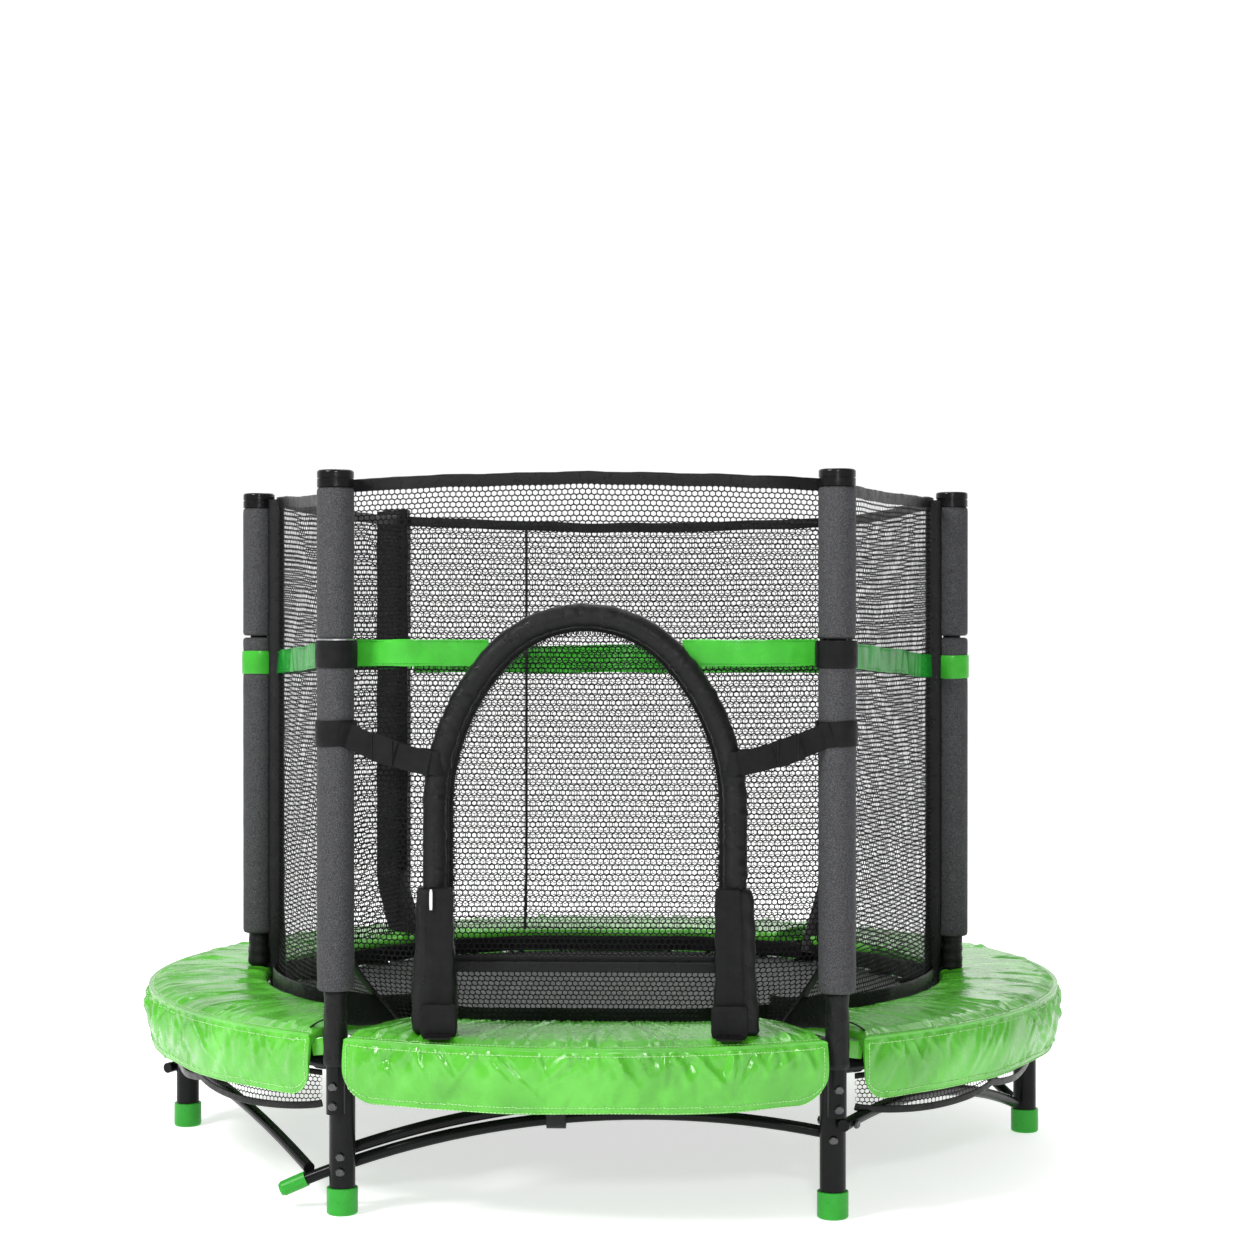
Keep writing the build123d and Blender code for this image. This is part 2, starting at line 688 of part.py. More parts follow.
def pole_straps():
    """Black webbing: straps from the front poles to the gate, and the wraps under the belt."""
    pole_z, arch_z, half_h = 645.0, 607.0, 17.0
    ring_in, ring_out = FOAM_R + FIT, FOAM_R + FIT + STRAP_T
    with BuildPart() as straps:
        for name, side in (("front_left", -1), ("front_right", 1)):
            sleeve_ring(name, pole_z - half_h, pole_z + half_h, ring_in, ring_out)
            start = POLES[name].X - side * (ring_out - 7.0)
            end = side * (ARCH_HALF_W + ARCH_R + 0.4)
            with BuildSketch(Plane.XZ.offset(-ARCH_Y - 2)) as web:
                Polygon(
                    (start, pole_z + half_h), (start, pole_z - half_h),
                    (end, arch_z - half_h), (end, arch_z + half_h), align=None,
                )
            extrude(web.sketch, amount=STRAP_T)
            sleeve_ring(name, BELT_Z - BELT_H / 2, BELT_Z + BELT_H / 2, ring_in, ring_out)
    finish(straps, "pole_straps")


def belt():
    """Wide webbing belt round the net: a strip between each pair of poles, and wraps on the poles."""
    low, high = BELT_Z - BELT_H / 2, BELT_Z + BELT_H / 2
    spare = 3.0
    with BuildPart() as band:
        for first, last in zip(AROUND, AROUND[1:] + AROUND[:1]):
            if (first, last) != ("front_left", "front_right"):
                a, b = net_corner(first), net_corner(last)
                along = (b - a).normalized()
                wall(a + along * spare, b - along * spare, low, high, BELT_T, outside=BELT_T + 0.4)
        for side in (-1, 1):
            start = Vector(side * GATE_NET_HALF_W, GATE_NET_Y, 0)
            end = Vector(side * 125.0, GATE_NET_Y, 0)
            wall(start, end, low, high, BELT_T, outside=BELT_T + 0.4)
        for name in ("left", "right", "back_left", "back_right"):
            sleeve_ring(name, low, high, FOAM_R + FIT, FOAM_R + FIT + BELT_T)
    finish(band, "belt")


def skirt_nets():
    """Short net strips that hang from the frame between the side legs."""
    low, high, spare_deg = 141.0, 188.0, 3.2
    with BuildPart() as strips:
        for first, last in (("left", "front_left"), ("front_right", "right"),
                            ("right", "back_right"), ("back_left", "left")):
            start, end = LEG_ANGLES[first] % 360, LEG_ANGLES[last] % 360
            if end < start:
                end += 360
            section_plane = Plane(origin=polar(RING_R, start + spare_deg),
                                  x_dir=polar(1, start + spare_deg), z_dir=polar(1, start + spare_deg + 90))
            with BuildSketch(section_plane) as section:
                with Locations((0, -(low + high) / 2)):
                    Rectangle(2.4, high - low)
            revolve(section.sketch, axis=Axis.Z, revolution_arc=end - start - 2 * spare_deg)
    finish(strips, "skirt_nets")


if __name__ == "__main__":
    ring_tube("frame_tube_front", LEG_ANGLES["left"] - 360, LEG_ANGLES["front_right"])
    ring_tube("frame_tube_right", LEG_ANGLES["front_right"], LEG_ANGLES["back_right"])
    ring_tube("frame_tube_back", LEG_ANGLES["back_right"], LEG_ANGLES["left"])
    for leg_name in LEGS:
        leg(leg_name)
        pole_lower(leg_name)
        pole_upper(leg_name)
    foot_caps()
    foam_sleeves("foam_sleeves_lower", FOAM_BOTTOM_Z, FOAM_SPLIT_Z)
    foam_sleeves("foam_sleeves_upper", FOAM_SPLIT_Z + FOAM_SPLIT_GAP, FOAM_TOP_Z)
    pole_caps()
    side_pole_bracket("left")
    side_pole_bracket("right")
    pole_bolts()
    for brace_name in BRACES:
        brace(brace_name)
    brace_fittings()
    brace_bolts()
    brace_clamps()
    jump_mat()
    mat_rings()
    springs()
    front_gap, side_gap = PAD_END_GAPS
    pad("pad_front", "front_left", "front_right", front_gap, front_gap)
    pad("pad_right", "front_right", "back_right", side_gap, side_gap)
    pad("pad_back", "back_right", "back_left", front_gap, front_gap)
    pad("pad_left", "back_left", "front_left", side_gap, side_gap)
    net_panel("net_front_left", "left", "front_left")
    net_panel("net_front_right", "front_right", "right")
    net_panel("net_back_right", "right", "back_right")
    net_panel("net_back", "back_right", "back_left")
    net_panel("net_back_left", "back_left", "left")
    net_front()
    gate_door()
    gate_tube("gate_rod", GATE_ROD_R, 0, ARCH_BOTTOM_Z + 2)
    gate_tube("gate_sleeve", ARCH_R, GATE_ROD_R + 0.2, ARCH_BOTTOM_Z)
    gate_cuffs()
    pole_straps()
    belt()
    skirt_nets()
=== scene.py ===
"""Looks of a small round trampoline with a net enclosure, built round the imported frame, in metres."""

import math

import bmesh
import bpy
import numpy as np
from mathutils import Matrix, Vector


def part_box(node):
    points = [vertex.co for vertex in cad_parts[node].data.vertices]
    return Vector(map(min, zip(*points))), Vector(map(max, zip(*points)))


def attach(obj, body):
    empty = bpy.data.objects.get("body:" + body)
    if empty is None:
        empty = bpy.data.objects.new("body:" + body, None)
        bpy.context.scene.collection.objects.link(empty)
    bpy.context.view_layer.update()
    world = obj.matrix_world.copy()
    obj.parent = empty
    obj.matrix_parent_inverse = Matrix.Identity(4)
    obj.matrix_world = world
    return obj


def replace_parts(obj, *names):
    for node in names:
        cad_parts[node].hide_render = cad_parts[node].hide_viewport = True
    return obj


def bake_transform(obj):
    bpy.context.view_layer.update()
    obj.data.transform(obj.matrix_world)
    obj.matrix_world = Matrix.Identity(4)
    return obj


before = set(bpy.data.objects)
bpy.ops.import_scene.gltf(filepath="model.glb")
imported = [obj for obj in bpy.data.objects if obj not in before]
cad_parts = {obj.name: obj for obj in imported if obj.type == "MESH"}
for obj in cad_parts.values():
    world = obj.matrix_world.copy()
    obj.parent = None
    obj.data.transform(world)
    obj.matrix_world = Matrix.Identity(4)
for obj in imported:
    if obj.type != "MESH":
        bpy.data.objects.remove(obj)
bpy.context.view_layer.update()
TAU = 2 * math.pi
MM = 0.001
UP = np.array([0, 0, 1.0])
TO_FRONT = np.array([0, -1.0, 0])


# ---------------------------------------------------------------- small maths
def smooth(x):
    x = np.clip(x, 0.0, 1.0)
    return x * x * (3 - 2 * x)


def unit(v):
    v = np.asarray(v, float)
    return v / np.maximum(np.linalg.norm(v, axis=-1, keepdims=True), 1e-12)


def wander(x, seed, wavelength, waves=5):
    """Smooth noise along a line, about -1 to 1."""
    r = np.random.default_rng(seed)
    total = np.zeros_like(np.asarray(x, float))
    for _ in range(waves):
        total += np.sin(x * TAU / (wavelength * r.uniform(0.6, 1.8)) + r.uniform(0, TAU)) * r.uniform(0.4, 1)
    return total / (0.7 * waves)


def middle(node):
    low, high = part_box(node)
    return np.array((low + high) / 2)


def top(node):
    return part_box(node)[1].z


def bottom(node):
    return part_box(node)[0].z


def half_size(node, axis):
    low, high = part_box(node)
    return (high[axis] - low[axis]) / 2


def turns(count):
    """Even angles once round."""
    return np.linspace(0, TAU, count, endpoint=False)


def around(centre, radius, a, z):
    """Points round an upright axis."""
    return np.stack([centre[0] + radius * np.cos(a), centre[1] + radius * np.sin(a), 0 * a + z], -1)


def level_out(path):
    """The level direction away from the middle of the trampoline, at each point."""
    return unit(np.stack([path[:, 0], path[:, 1], 0 * path[:, 0]], -1))


def squarish(a, half_x, half_y, power_x, power_y):
    """A rounded rectangle's x and y at each angle."""
    c, s = np.cos(a), np.sin(a)
    return np.sign(c) * np.abs(c) ** power_x * half_x, np.sign(s) * np.abs(s) ** power_y * half_y


# ---------------------------------------------------------------- mesh making
class Shape:
    """Gathers grids of points into one mesh."""

    def __init__(self):
        self.points, self.faces, self.count = [], [], 0

    def add(self, points, faces):
        points = np.asarray(points, float).reshape(-1, 3)
        self.points.append(points)
        self.faces += [[i + self.count for i in f] for f in faces]
        self.count += len(points)

    def grid(self, p, wrap_u=False, wrap_v=False, caps=False):
        nu, nv = p.shape[:2]
        rows, columns = np.arange(nu if wrap_u else nu - 1), np.arange(nv if wrap_v else nv - 1)
        i, j = np.meshgrid(rows, columns, indexing="ij")
        i2, j2 = (i + 1) % nu, (j + 1) % nv
        faces = np.stack([i * nv + j, i2 * nv + j, i2 * nv + j2, i * nv + j2], -1).reshape(-1, 4).tolist()
        if caps:
            faces.append(list(range(nv))[::-1])
            faces.append([(nu - 1) * nv + k for k in range(nv)])
        self.add(p, faces)

    def solid(self, rings):
        self.grid(np.asarray(rings), wrap_v=True, caps=True)

    def tube(self, path, section, up):
        self.solid(sweep(path, section, up))

    def strip(self, path, width, thickness, up, sides=16):
        self.tube(path, flat_section(width, thickness, sides), up)

    def make(self, name, material, body="frame", slot=None, sharp=40, closed=True):
        mesh = bpy.data.meshes.new(name)
        mesh.from_pydata(np.concatenate(self.points).tolist(), [], self.faces)
        if closed:
            work = bmesh.new()
            work.from_mesh(mesh)
            bmesh.ops.recalc_face_normals(work, faces=work.faces)
            work.to_mesh(mesh)
            work.free()
        mesh.materials.append(material)
        mesh.polygons.foreach_set("use_smooth", [True] * len(mesh.polygons))
        if sharp:
            mesh.set_sharp_from_angle(angle=math.radians(sharp))
        made = bpy.data.objects.new(name, mesh)
        bpy.context.scene.collection.objects.link(made)
        if body:
            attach(made, body)
        return made


def circle(radius, sides):
    a = turns(sides)
    return np.stack([np.cos(a), np.sin(a)], -1) * radius


def flat_section(width, thickness, sides=16, power=0.35):
    """A strap's section, its edges rounded."""
    return np.stack(squarish(turns(sides) + TAU / sides / 2, width / 2, thickness / 2, power, 0.8), -1)


def sweep(path, section, up):
    """Rings of a section along a path. up points along the section's second axis."""
    path = np.asarray(path, float)
    tangent = unit(np.gradient(path, axis=0))
    up = np.broadcast_to(np.asarray(up, float), path.shape)
    side = unit(np.cross(tangent, up))
    up = np.cross(side, tangent)
    section = np.broadcast_to(section, (len(path),) + np.shape(section)[-2:])
    return path[:, None] + section[..., :1] * side[:, None] + section[..., 1:] * up[:, None]


def run_along(path):
    """Distance along a polyline at each of its points."""
    return np.concatenate([[0], np.cumsum(np.linalg.norm(np.diff(path, axis=0), axis=1))])


def resample(path, step):
    """Even steps along a polyline, with the tangent at each."""
    path = np.asarray(path, float)
    run = run_along(path)
    at = np.arange(step / 2, run[-1], step)
    here, ahead, behind = (
        np.stack([np.interp(at + shift, run, path[:, k]) for k in range(3)], -1)
        for shift in (0, step / 3, -step / 3)
    )
    return here, unit(ahead - behind)


def stitches(shape, path, out, step=5.2 * MM, length=4.3 * MM, radius=0.75 * MM):
    """Short rounded stitches along a path, standing a little out of the cloth."""
    points, along = resample(path, step)
    out = unit(np.broadcast_to(out, path.shape) if np.ndim(out) == 1 else out)
    share = (np.arange(len(points)) + 0.5) / len(points)
    out = out[np.clip(share * (len(path) - 1), 0, len(path) - 1).astype(int)]
    out = unit(out - (out * along).sum(1, keepdims=True) * along)
    side = np.cross(along, out)
    a = turns(6)[:, None]
    rows = [(-0.5, 0.25), (-0.36, 0.9), (0.0, 1.0), (0.36, 0.9), (0.5, 0.25)]
    for p, t, o, s in zip(points, along, out, side):
        wheel = radius * (np.cos(a) * s + np.sin(a) * o)
        shape.solid([p + t * length * x + wheel * k for x, k in rows])


# ---------------------------------------------------------------- materials
class Paint:
    """A node material under construction, in object coordinates (metres)."""

    def __init__(self, name, colour, roughness=0.5, **inputs):
        self.material = bpy.data.materials.new(name)
        self.material.use_nodes = True
        self.tree = self.material.node_tree
        self.shader = self.tree.nodes["Principled BSDF"]
        self.shader.inputs["Base Color"].default_value = (*colour, 1)
        self.shader.inputs["Roughness"].default_value = roughness
        for key, value in inputs.items():
            self.shader.inputs[key.replace("_", " ")].default_value = value
        self.place = self.node("TexCoord").outputs["Object"]
        self.height = None

    def node(self, kind, **settings):
        """A new node. A setting is one of its properties or, with underscores for spaces, of its inputs."""
        made = self.tree.nodes.new("ShaderNode" + kind)
        for key, value in settings.items():
            if hasattr(made, key):
                setattr(made, key, value)
            else:
                made.inputs[key.replace("_", " ")].default_value = value
        return made

    def join(self, a, b):
        self.tree.links.new(a, b)

    def texture(self, kind, output, **settings):
        made = self.node(kind, **settings)
        self.join(self.place, made.inputs["Vector"])
        return made.outputs[output]

    def noise(self, scale, detail=3.0, roughness=0.55):
        return self.texture("TexNoise", "Fac", Scale=scale, Detail=detail, Roughness=roughness)

    def wave(self, scale, axis="X", distortion=0.0):
        return self.texture("TexWave", "Fac", bands_direction=axis, Scale=scale, Distortion=distortion)

    def cells(self, scale):
        return self.texture("TexVoronoi", "Distance", Scale=scale)

    def ramp(self, value, stops):
        made = self.node("ValToRGB")
        elements = made.color_ramp.elements
        while len(elements) < len(stops):
            elements.new(0.5)
        for element, (at, colour) in zip(elements, stops):
            element.position = at
            element.color = (*colour, 1)
        self.join(value, made.inputs["Fac"])
        return made.outputs["Color"]

    def span(self, value, low, high, start, end):
        made = self.node("MapRange", From_Min=start, From_Max=end, To_Min=low, To_Max=high)
        self.join(value, made.inputs["Value"])
        return made.outputs["Result"]

    def maths(self, operation, a, b):
        made = self.node("Math", operation=operation)
        for socket, value in zip(made.inputs, (a, b)):
            if isinstance(value, (int, float)):
                socket.default_value = value
            else:
                self.join(value, socket)
        return made.outputs[0]

    def colour(self, value):
        self.join(value, self.shader.inputs["Base Color"])

    def rough(self, value):
        self.join(value, self.shader.inputs["Roughness"])

    def bump(self, value, distance, strength):
        made = self.node("Bump", Distance=distance, Strength=strength)
        self.join(value, made.inputs["Height"])
        if self.height is not None:
            self.join(self.height, made.inputs["Normal"])
        self.height = made.outputs["Normal"]
        self.join(self.height, self.shader.inputs["Normal"])


def scaled(colour, gain, lift=0.0):
    return tuple(min(1, c * gain + lift) for c in colour)


def powder_coat(name, colour, low, high):
    """Sprayed black paint: slight orange peel, finger marks and dust in the gloss."""
    p = Paint(name, colour, low, Specular_IOR_Level=0.11, Coat_Weight=0.03, Coat_Roughness=0.1)
    p.colour(p.ramp(p.noise(22, 5), [(0.35, colour), (0.75, scaled(colour, 1.5, 0.002))]))
    p.rough(p.span(p.noise(35, 4), low, high, 0.3, 0.7))
    p.bump(p.noise(700, 1), 0.00012, 0.6)
    return p.material


def steel(name, colour, low, high, anisotropic=0.0):
    """Zinc plating: cloudy sheen with fine rub marks."""
    p = Paint(name, colour, low, Metallic=1.0, Anisotropic=anisotropic)
    p.colour(p.ramp(p.noise(90, 4), [(0.3, scaled(colour, 0.72)), (0.7, colour)]))
    p.rough(p.span(p.noise(260, 3), low, high, 0.3, 0.7))
    p.bump(p.noise(900, 2), 0.00008, 0.5)
    return p.material


def moulded(name, colour, low, high, grain=0.0001):
    """Moulded plastic with a fine skin texture and scuffs."""
    p = Paint(name, colour, low, Specular_IOR_Level=0.3)
    p.colour(p.ramp(p.noise(60, 5), [(0.3, scaled(colour, 0.82)), (0.72, colour)]))
    p.rough(p.span(p.noise(120, 4), low, high, 0.3, 0.72))
    p.bump(p.noise(1400, 2), grain, 0.6)
    return p.material


def vinyl(name, colour, scale=1.0, gloss=0.6):
    """Coated fabric: glossy skin over a just visible weave."""
    p = Paint(name, colour, 0.3, Specular_IOR_Level=gloss, Coat_Weight=0.3 * gloss, Coat_Roughness=0.14)
    stops = [(0.28, scaled(colour, 0.66)), (0.52, colour), (0.74, scaled(colour, 1.25, 0.02))]
    p.colour(p.ramp(p.noise(9, 6, 0.6), stops))
    p.rough(p.span(p.noise(28, 5), 0.17, 0.33, 0.3, 0.72))
    weave = p.maths("ADD", p.wave(160 * scale, "X"), p.wave(160 * scale, "Y"))
    p.bump(p.maths("ADD", weave, p.wave(160 * scale, "Z")), 0.00006, 0.4)
    p.bump(p.noise(120, 4, 0.6), 0.0006, 0.35)
    return p.material


def woven(name, colour, threads, rough, depth, axes=("X", "Z"), shine=0.12, gain=1.9):
    """Webbing or cloth: over-and-under threads with lint and fading."""
    p = Paint(name, colour, rough, Specular_IOR_Level=shine)
    weave = p.maths("MULTIPLY", *(p.wave(threads, axis, 0.4) for axis in axes))
    mixed = p.maths("ADD", p.maths("MULTIPLY", weave, 0.6), p.maths("MULTIPLY", p.noise(45, 5), 0.6))
    stops = [(0.15, scaled(colour, 0.55)), (0.45, colour), (0.85, scaled(colour, gain, 0.002))]
    p.colour(p.ramp(mixed, stops))
    p.rough(p.span(p.noise(80, 3), rough - 0.12, rough + 0.1, 0.3, 0.7))
    p.bump(weave, depth, 0.8)
    p.bump(p.noise(60, 4), 0.001, 0.25)
    return p.material


def foam_skin(name):
    """Closed-cell foam: fine dark and pale cells."""
    grey = (0.05, 0.05, 0.053)
    p = Paint(name, grey, 0.7, Specular_IOR_Level=0.16)
    stops = [(0.34, (0.02, 0.02, 0.022)), (0.5, grey), (0.68, (0.115, 0.115, 0.12))]
    p.colour(p.ramp(p.noise(760, 3, 0.7), stops))
    p.rough(p.span(p.noise(60, 3), 0.5, 0.72, 0.3, 0.7))
    p.bump(p.cells(900), 0.0004, 0.6)
    p.bump(p.noise(50, 3), 0.0012, 0.3)
    return p.material


COAT_BLACK = (0.006, 0.006, 0.0065)
CLOTH_BLACK = (0.007, 0.007, 0.0075)
BLACK_GLOSS = powder_coat("black_powder_coat", COAT_BLACK, 0.16, 0.3)
BLACK_SATIN = powder_coat("black_satin_coat", COAT_BLACK, 0.28, 0.42)
ZINC = steel("zinc_plate", (0.72, 0.73, 0.75), 0.24, 0.42)
DARK_ZINC = steel("black_zinc_plate", (0.1, 0.1, 0.105), 0.22, 0.36)
SPRING_STEEL = steel("spring_steel", (0.62, 0.63, 0.65), 0.28, 0.45, 0.3)
WIRE = steel("ring_wire", (0.5, 0.5, 0.52), 0.3, 0.5)
GREEN_PLASTIC = moulded("green_plastic", (0.03, 0.38, 0.03), 0.26, 0.44)
BLACK_PLASTIC = moulded("black_plastic", CLOTH_BLACK, 0.36, 0.55)
CAP_PLASTIC = moulded("cap_plastic", COAT_BLACK, 0.14, 0.3, 0.00005)
WHITE_PLASTIC = moulded("white_plastic", (0.75, 0.75, 0.74), 0.3, 0.5)
GLASS_FIBRE = moulded("glass_fibre", (0.55, 0.53, 0.45), 0.35, 0.5)
GREEN_VINYL = vinyl("green_vinyl", (0.085, 0.45, 0.024))
GREEN_BAND = vinyl("green_band", (0.055, 0.46, 0.035), 1.6, 0.25)
# a darker copy of the belt's green for the four slanting side panels: painted shade, not a different dye
SHADED_BAND = vinyl("shaded_green_band", (0.006, 0.25, 0.022), 1.6, 0.15)
THREAD = woven("pale_thread", (0.36, 0.74, 0.26), 900, 0.6, 0.0001)
GREEN_THREAD = woven("green_thread", (0.015, 0.24, 0.02), 900, 0.6, 0.0001)
BLACK_THREAD = woven("black_thread", (0.012, 0.012, 0.013), 900, 0.6, 0.0001)
FOAM = foam_skin("pole_foam")
MAT_WEAVE = woven("mat_weave", (0.048, 0.048, 0.05), 190, 0.5, 0.0005, ("X", "Y"), 0.22, 3.2)
BLACK_CLOTH = woven("black_cloth", CLOTH_BLACK, 330, 0.34, 0.0002, ("X", "Z"), 0.18, 2.0)
BLACK_WEB = woven("black_webbing", CLOTH_BLACK, 210, 0.5, 0.0006, ("Z", "X"), 0.14, 2.6)
NET_CORD = woven("net_cord", (0.008, 0.008, 0.0085), 1200, 0.6, 0.0002, ("X", "Z"), 0.08, 2.0)

NODE_PAINT = {  # by the start of a node's name
    "frame_tube": BLACK_GLOSS, "side_pole_bracket": BLACK_GLOSS, "leg_": BLACK_GLOSS,
    "foot_caps": GREEN_PLASTIC,
    "pole_lower": BLACK_SATIN, "pole_upper": BLACK_SATIN, "pole_caps": CAP_PLASTIC, "pole_bolts": DARK_ZINC,
    "brace_bolts": DARK_ZINC, "brace_end_cups": GREEN_PLASTIC, "brace_clamps": BLACK_PLASTIC,
    "mat_rings": WIRE, "gate_rod": GLASS_FIBRE,
}
for node_name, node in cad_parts.items():
    paint = next((m for key, m in NODE_PAINT.items() if node_name.startswith(key)), None)
    if paint is None and "brace" in node_name:
        paint = BLACK_GLOSS
    if paint is not None:
        node.data.materials.clear()
        node.data.materials.append(paint)


# ---------------------------------------------------------------- layout read from the frame
NAMES = ("front_left", "front_right", "right", "back_right", "back_left", "left")
POLES = {n: middle("pole_upper_" + n)[:2] for n in NAMES}
POLE_WAY = {n: unit(POLES[n]) for n in NAMES}
POLE_DEG = {n: math.degrees(math.atan2(POLES[n][1], POLES[n][0])) for n in NAMES}
FOAM_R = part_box("foam_sleeves_lower")[1].x - POLES["right"][0]
NET_CORNER = {n: POLES[n] - POLE_WAY[n] * (FOAM_R + 4 * MM) for n in NAMES}
RING_Z = middle("frame_tube_front")[2]
PAD_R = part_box("pad_right")[1].x
PAD_TOP = top("pad_right")
SKIRT_LOW = bottom("pad_right")
PAD_INNER_R = 0.520  # the opening in the pads, flattened at the front and the back
PAD_INNER_Y = 0.500
SLEEVE_R = half_size("gate_sleeve", 1)
GATE_ROD_R = 4.5 * MM
ARCH_Y = middle("gate_sleeve")[1]
ARCH_HALF_W = half_size("gate_rod", 0) - GATE_ROD_R
ARCH_TOP = top("gate_rod") - GATE_ROD_R
ARCH_SPRING = 0.545  # height where the gate's legs start to curve
ARCH_CROWN_R = 0.160
DOORWAY_HALF_W = ARCH_HALF_W - 19 * MM
DOORWAY_TOP = ARCH_TOP - 19 * MM
DOORWAY_Y = -0.6005
ZIP_Y = -0.5965
DOOR_Y = middle("gate_door")[1]
DOOR_LOW = bottom("gate_door")
STRAP_Z = 0.645  # height of the gate's straps at the poles
STRAP_GATE_Z = 0.607  # and at the gate
BELT_Z = middle("belt")[2]
BELT_H = top("belt") - bottom("belt")
BELT_DROP = {"front": -9 * MM, "left": 14 * MM, "right": 20 * MM, "back": 17 * MM}  # below its middle height
BELT_AT = {n: BELT_Z - BELT_DROP[n.split("_")[0]] for n in NAMES}


def pad_inner(turn):
    """Radius of the pads' inner edge at an angle."""
    return np.minimum(PAD_INNER_R, PAD_INNER_Y / np.maximum(np.abs(np.sin(turn)), 1e-6))


def arch(half_w, high, foot, count=90):
    """Points x, z along the gate's outline, left foot to right foot."""
    crown = ARCH_CROWN_R - (ARCH_HALF_W - half_w)
    rise = high - crown - ARCH_SPRING
    big = (rise**2 + half_w**2 - crown**2) / (2 * (half_w - crown))
    centre = big - half_w
    turn = math.atan2(rise, -centre)
    left = [(-half_w, z) for z in np.linspace(foot, ARCH_SPRING, count // 3, endpoint=False)]
    a = np.linspace(math.pi, turn, count // 3, endpoint=False)
    shoulder = list(zip(centre + big * np.cos(a), ARCH_SPRING + big * np.sin(a)))
    b = np.linspace(turn, math.pi / 2, count // 3)
    crown_line = list(zip(crown * np.cos(b), ARCH_SPRING + rise + crown * np.sin(b)))
    half = np.array(left + shoulder + crown_line)
    return np.concatenate([half, (half[:-1] * [-1, 1])[::-1]])


def arch_path(half_w, high, foot, y, count=150):
    line = arch(half_w, high, foot, count)
    return np.stack([line[:, 0], np.full(len(line), y), line[:, 1]], -1)


def in_arch(x, z, half_w, high, foot):
    """Whether points are inside the gate's outline."""
    line = arch(half_w, high, foot)
    side = line[: len(line) // 2 + 1]
    reach = np.interp(z, side[:, 1], -side[:, 0])
    return (z > foot) & (z < high) & (np.abs(x) < reach)


# ---------------------------------------------------------------- padded rim
SEAM_Z = PAD_TOP - 8.0 * MM  # where the skirt is sewn to the top
SKIRT_ROWS, HEM_ROWS, BACK_ROWS, UNDER_ROWS = 33, 3, 6, 7
PAD_GAPS = {"pad_front": 22 * MM, "pad_right": 35 * MM, "pad_back": 22 * MM, "pad_left": 35 * MM}


def crease_field(height, along, across, seed, count, start, reach, size, width, lean):
    """Adds ridges that run across from a seam and fade out. size and width are ranges in millimetres."""
    r = np.random.default_rng(seed)
    low, high = along.min(), along.max()
    for _ in range(int(count)):
        at, length = r.uniform(low, high), r.uniform(*reach)
        tall, wide, slope = r.uniform(*size) * MM, r.uniform(*width) * MM, r.uniform(-lean, lean)
        bend = r.uniform(-0.6, 0.6) / max(length, 1e-6)
        if r.random() < 0.25:
            tall = -tall
        c = across - start
        x = along - at - slope * c - bend * slope * c * c
        near = (np.abs(x) < 3.2 * wide) & (c > -2 * MM) & (c < length)
        xn, cn = x[near] / wide, c[near] / length
        shape = np.exp(-xn * xn) - 0.45 * np.exp(-((xn / 2.0) ** 2))
        height[near] += tall * shape * smooth(c[near] / (7 * MM)) * smooth((1 - cn) / 0.75)


def pad_top(inner):
    """Points r, z over the top of a pad, from below its inner edge to the welt above the skirt."""
    a = np.radians(np.linspace(-100, 78, 9))
    nose = np.stack([inner + 9.5 * MM - 9.5 * MM * np.cos(a), PAD_TOP - 11 * MM + 10.5 * MM * np.sin(a)], -1)
    u = np.linspace(0.03, 1, 44) ** 0.96
    r = inner + 10 * MM + u * (PAD_R - 5 * MM - inner - 10 * MM)
    crown = 4.5 * MM * np.sin(math.pi * u**0.8) - 5.5 * MM * smooth((u - 0.86) / 0.14)
    welt = [PAD_R, PAD_TOP] - np.array([[3.3, 5.6], [2.2, 4.6], [0.9, 5.2], [0.8, 6.8], [2.2, 8.0]]) * MM
    return np.concatenate([nose, np.stack([r, PAD_TOP + crown], -1), welt])


TOP_ROWS = len(pad_top(PAD_INNER_R))


def pad_section(inner, low):
    """Points r, z round a pad: over the top, down the skirt, up behind it, and back underneath."""
    z = SEAM_Z + (low - SEAM_Z) * np.linspace(0, 1, SKIRT_ROWS + 1)[1:]
    fall = (SEAM_Z - z) / (SEAM_Z - SKIRT_LOW)
    swell = 5.0 * MM * np.sin(math.pi * np.minimum(fall * 1.1, 1))
    skirt = np.stack([PAD_R - 2.2 * MM + swell - 6 * MM * fall**2, z], -1)
    hem = skirt[-1] + np.array([[-0.8, -1.2], [-2.2, -1.2], [-3.4, 0.6]]) * MM
    back = np.linspace(hem[-1] + [0, 4 * MM], [PAD_R - 7 * MM, PAD_TOP - 24 * MM], BACK_ROWS)
    under_z = PAD_TOP - 22 * MM
    under = np.linspace([PAD_R - 12 * MM, under_z], [inner + 8 * MM, under_z], UNDER_ROWS)
    return np.concatenate([pad_top(inner), skirt, hem, back, under])


def top_creases(s, inward, wide, run, seed):
    """Height of the creases on a pad's top: from the outer seam, right across, and from the inner edge."""
    field = np.zeros_like(inward)
    crease_field(field, s, inward, seed, run / 0.013, 3 * MM, (0.025, 0.13), (0.9, 3.4), (2.2, 5.0), 0.4)
    crease_field(field, s, inward, seed + 1, run / 0.045, 3 * MM, (0.10, wide), (2.2, 5.6), (4.5, 10), 0.25)
    inner_edge = wide - inward
    crease_field(field, s, inner_edge, seed + 2, run / 0.018, 6 * MM, (0.03, 0.13), (1.0, 3.6), (2.5, 6), 0.45)
    sag = 1.6 * MM * wander(s, seed + 3, 0.19) + 0.35 * MM * wander(s + 0.3 * inward, seed + 8, 0.012)
    return field + sag * np.sin(math.pi * np.clip(inward / wide, 0, 1))


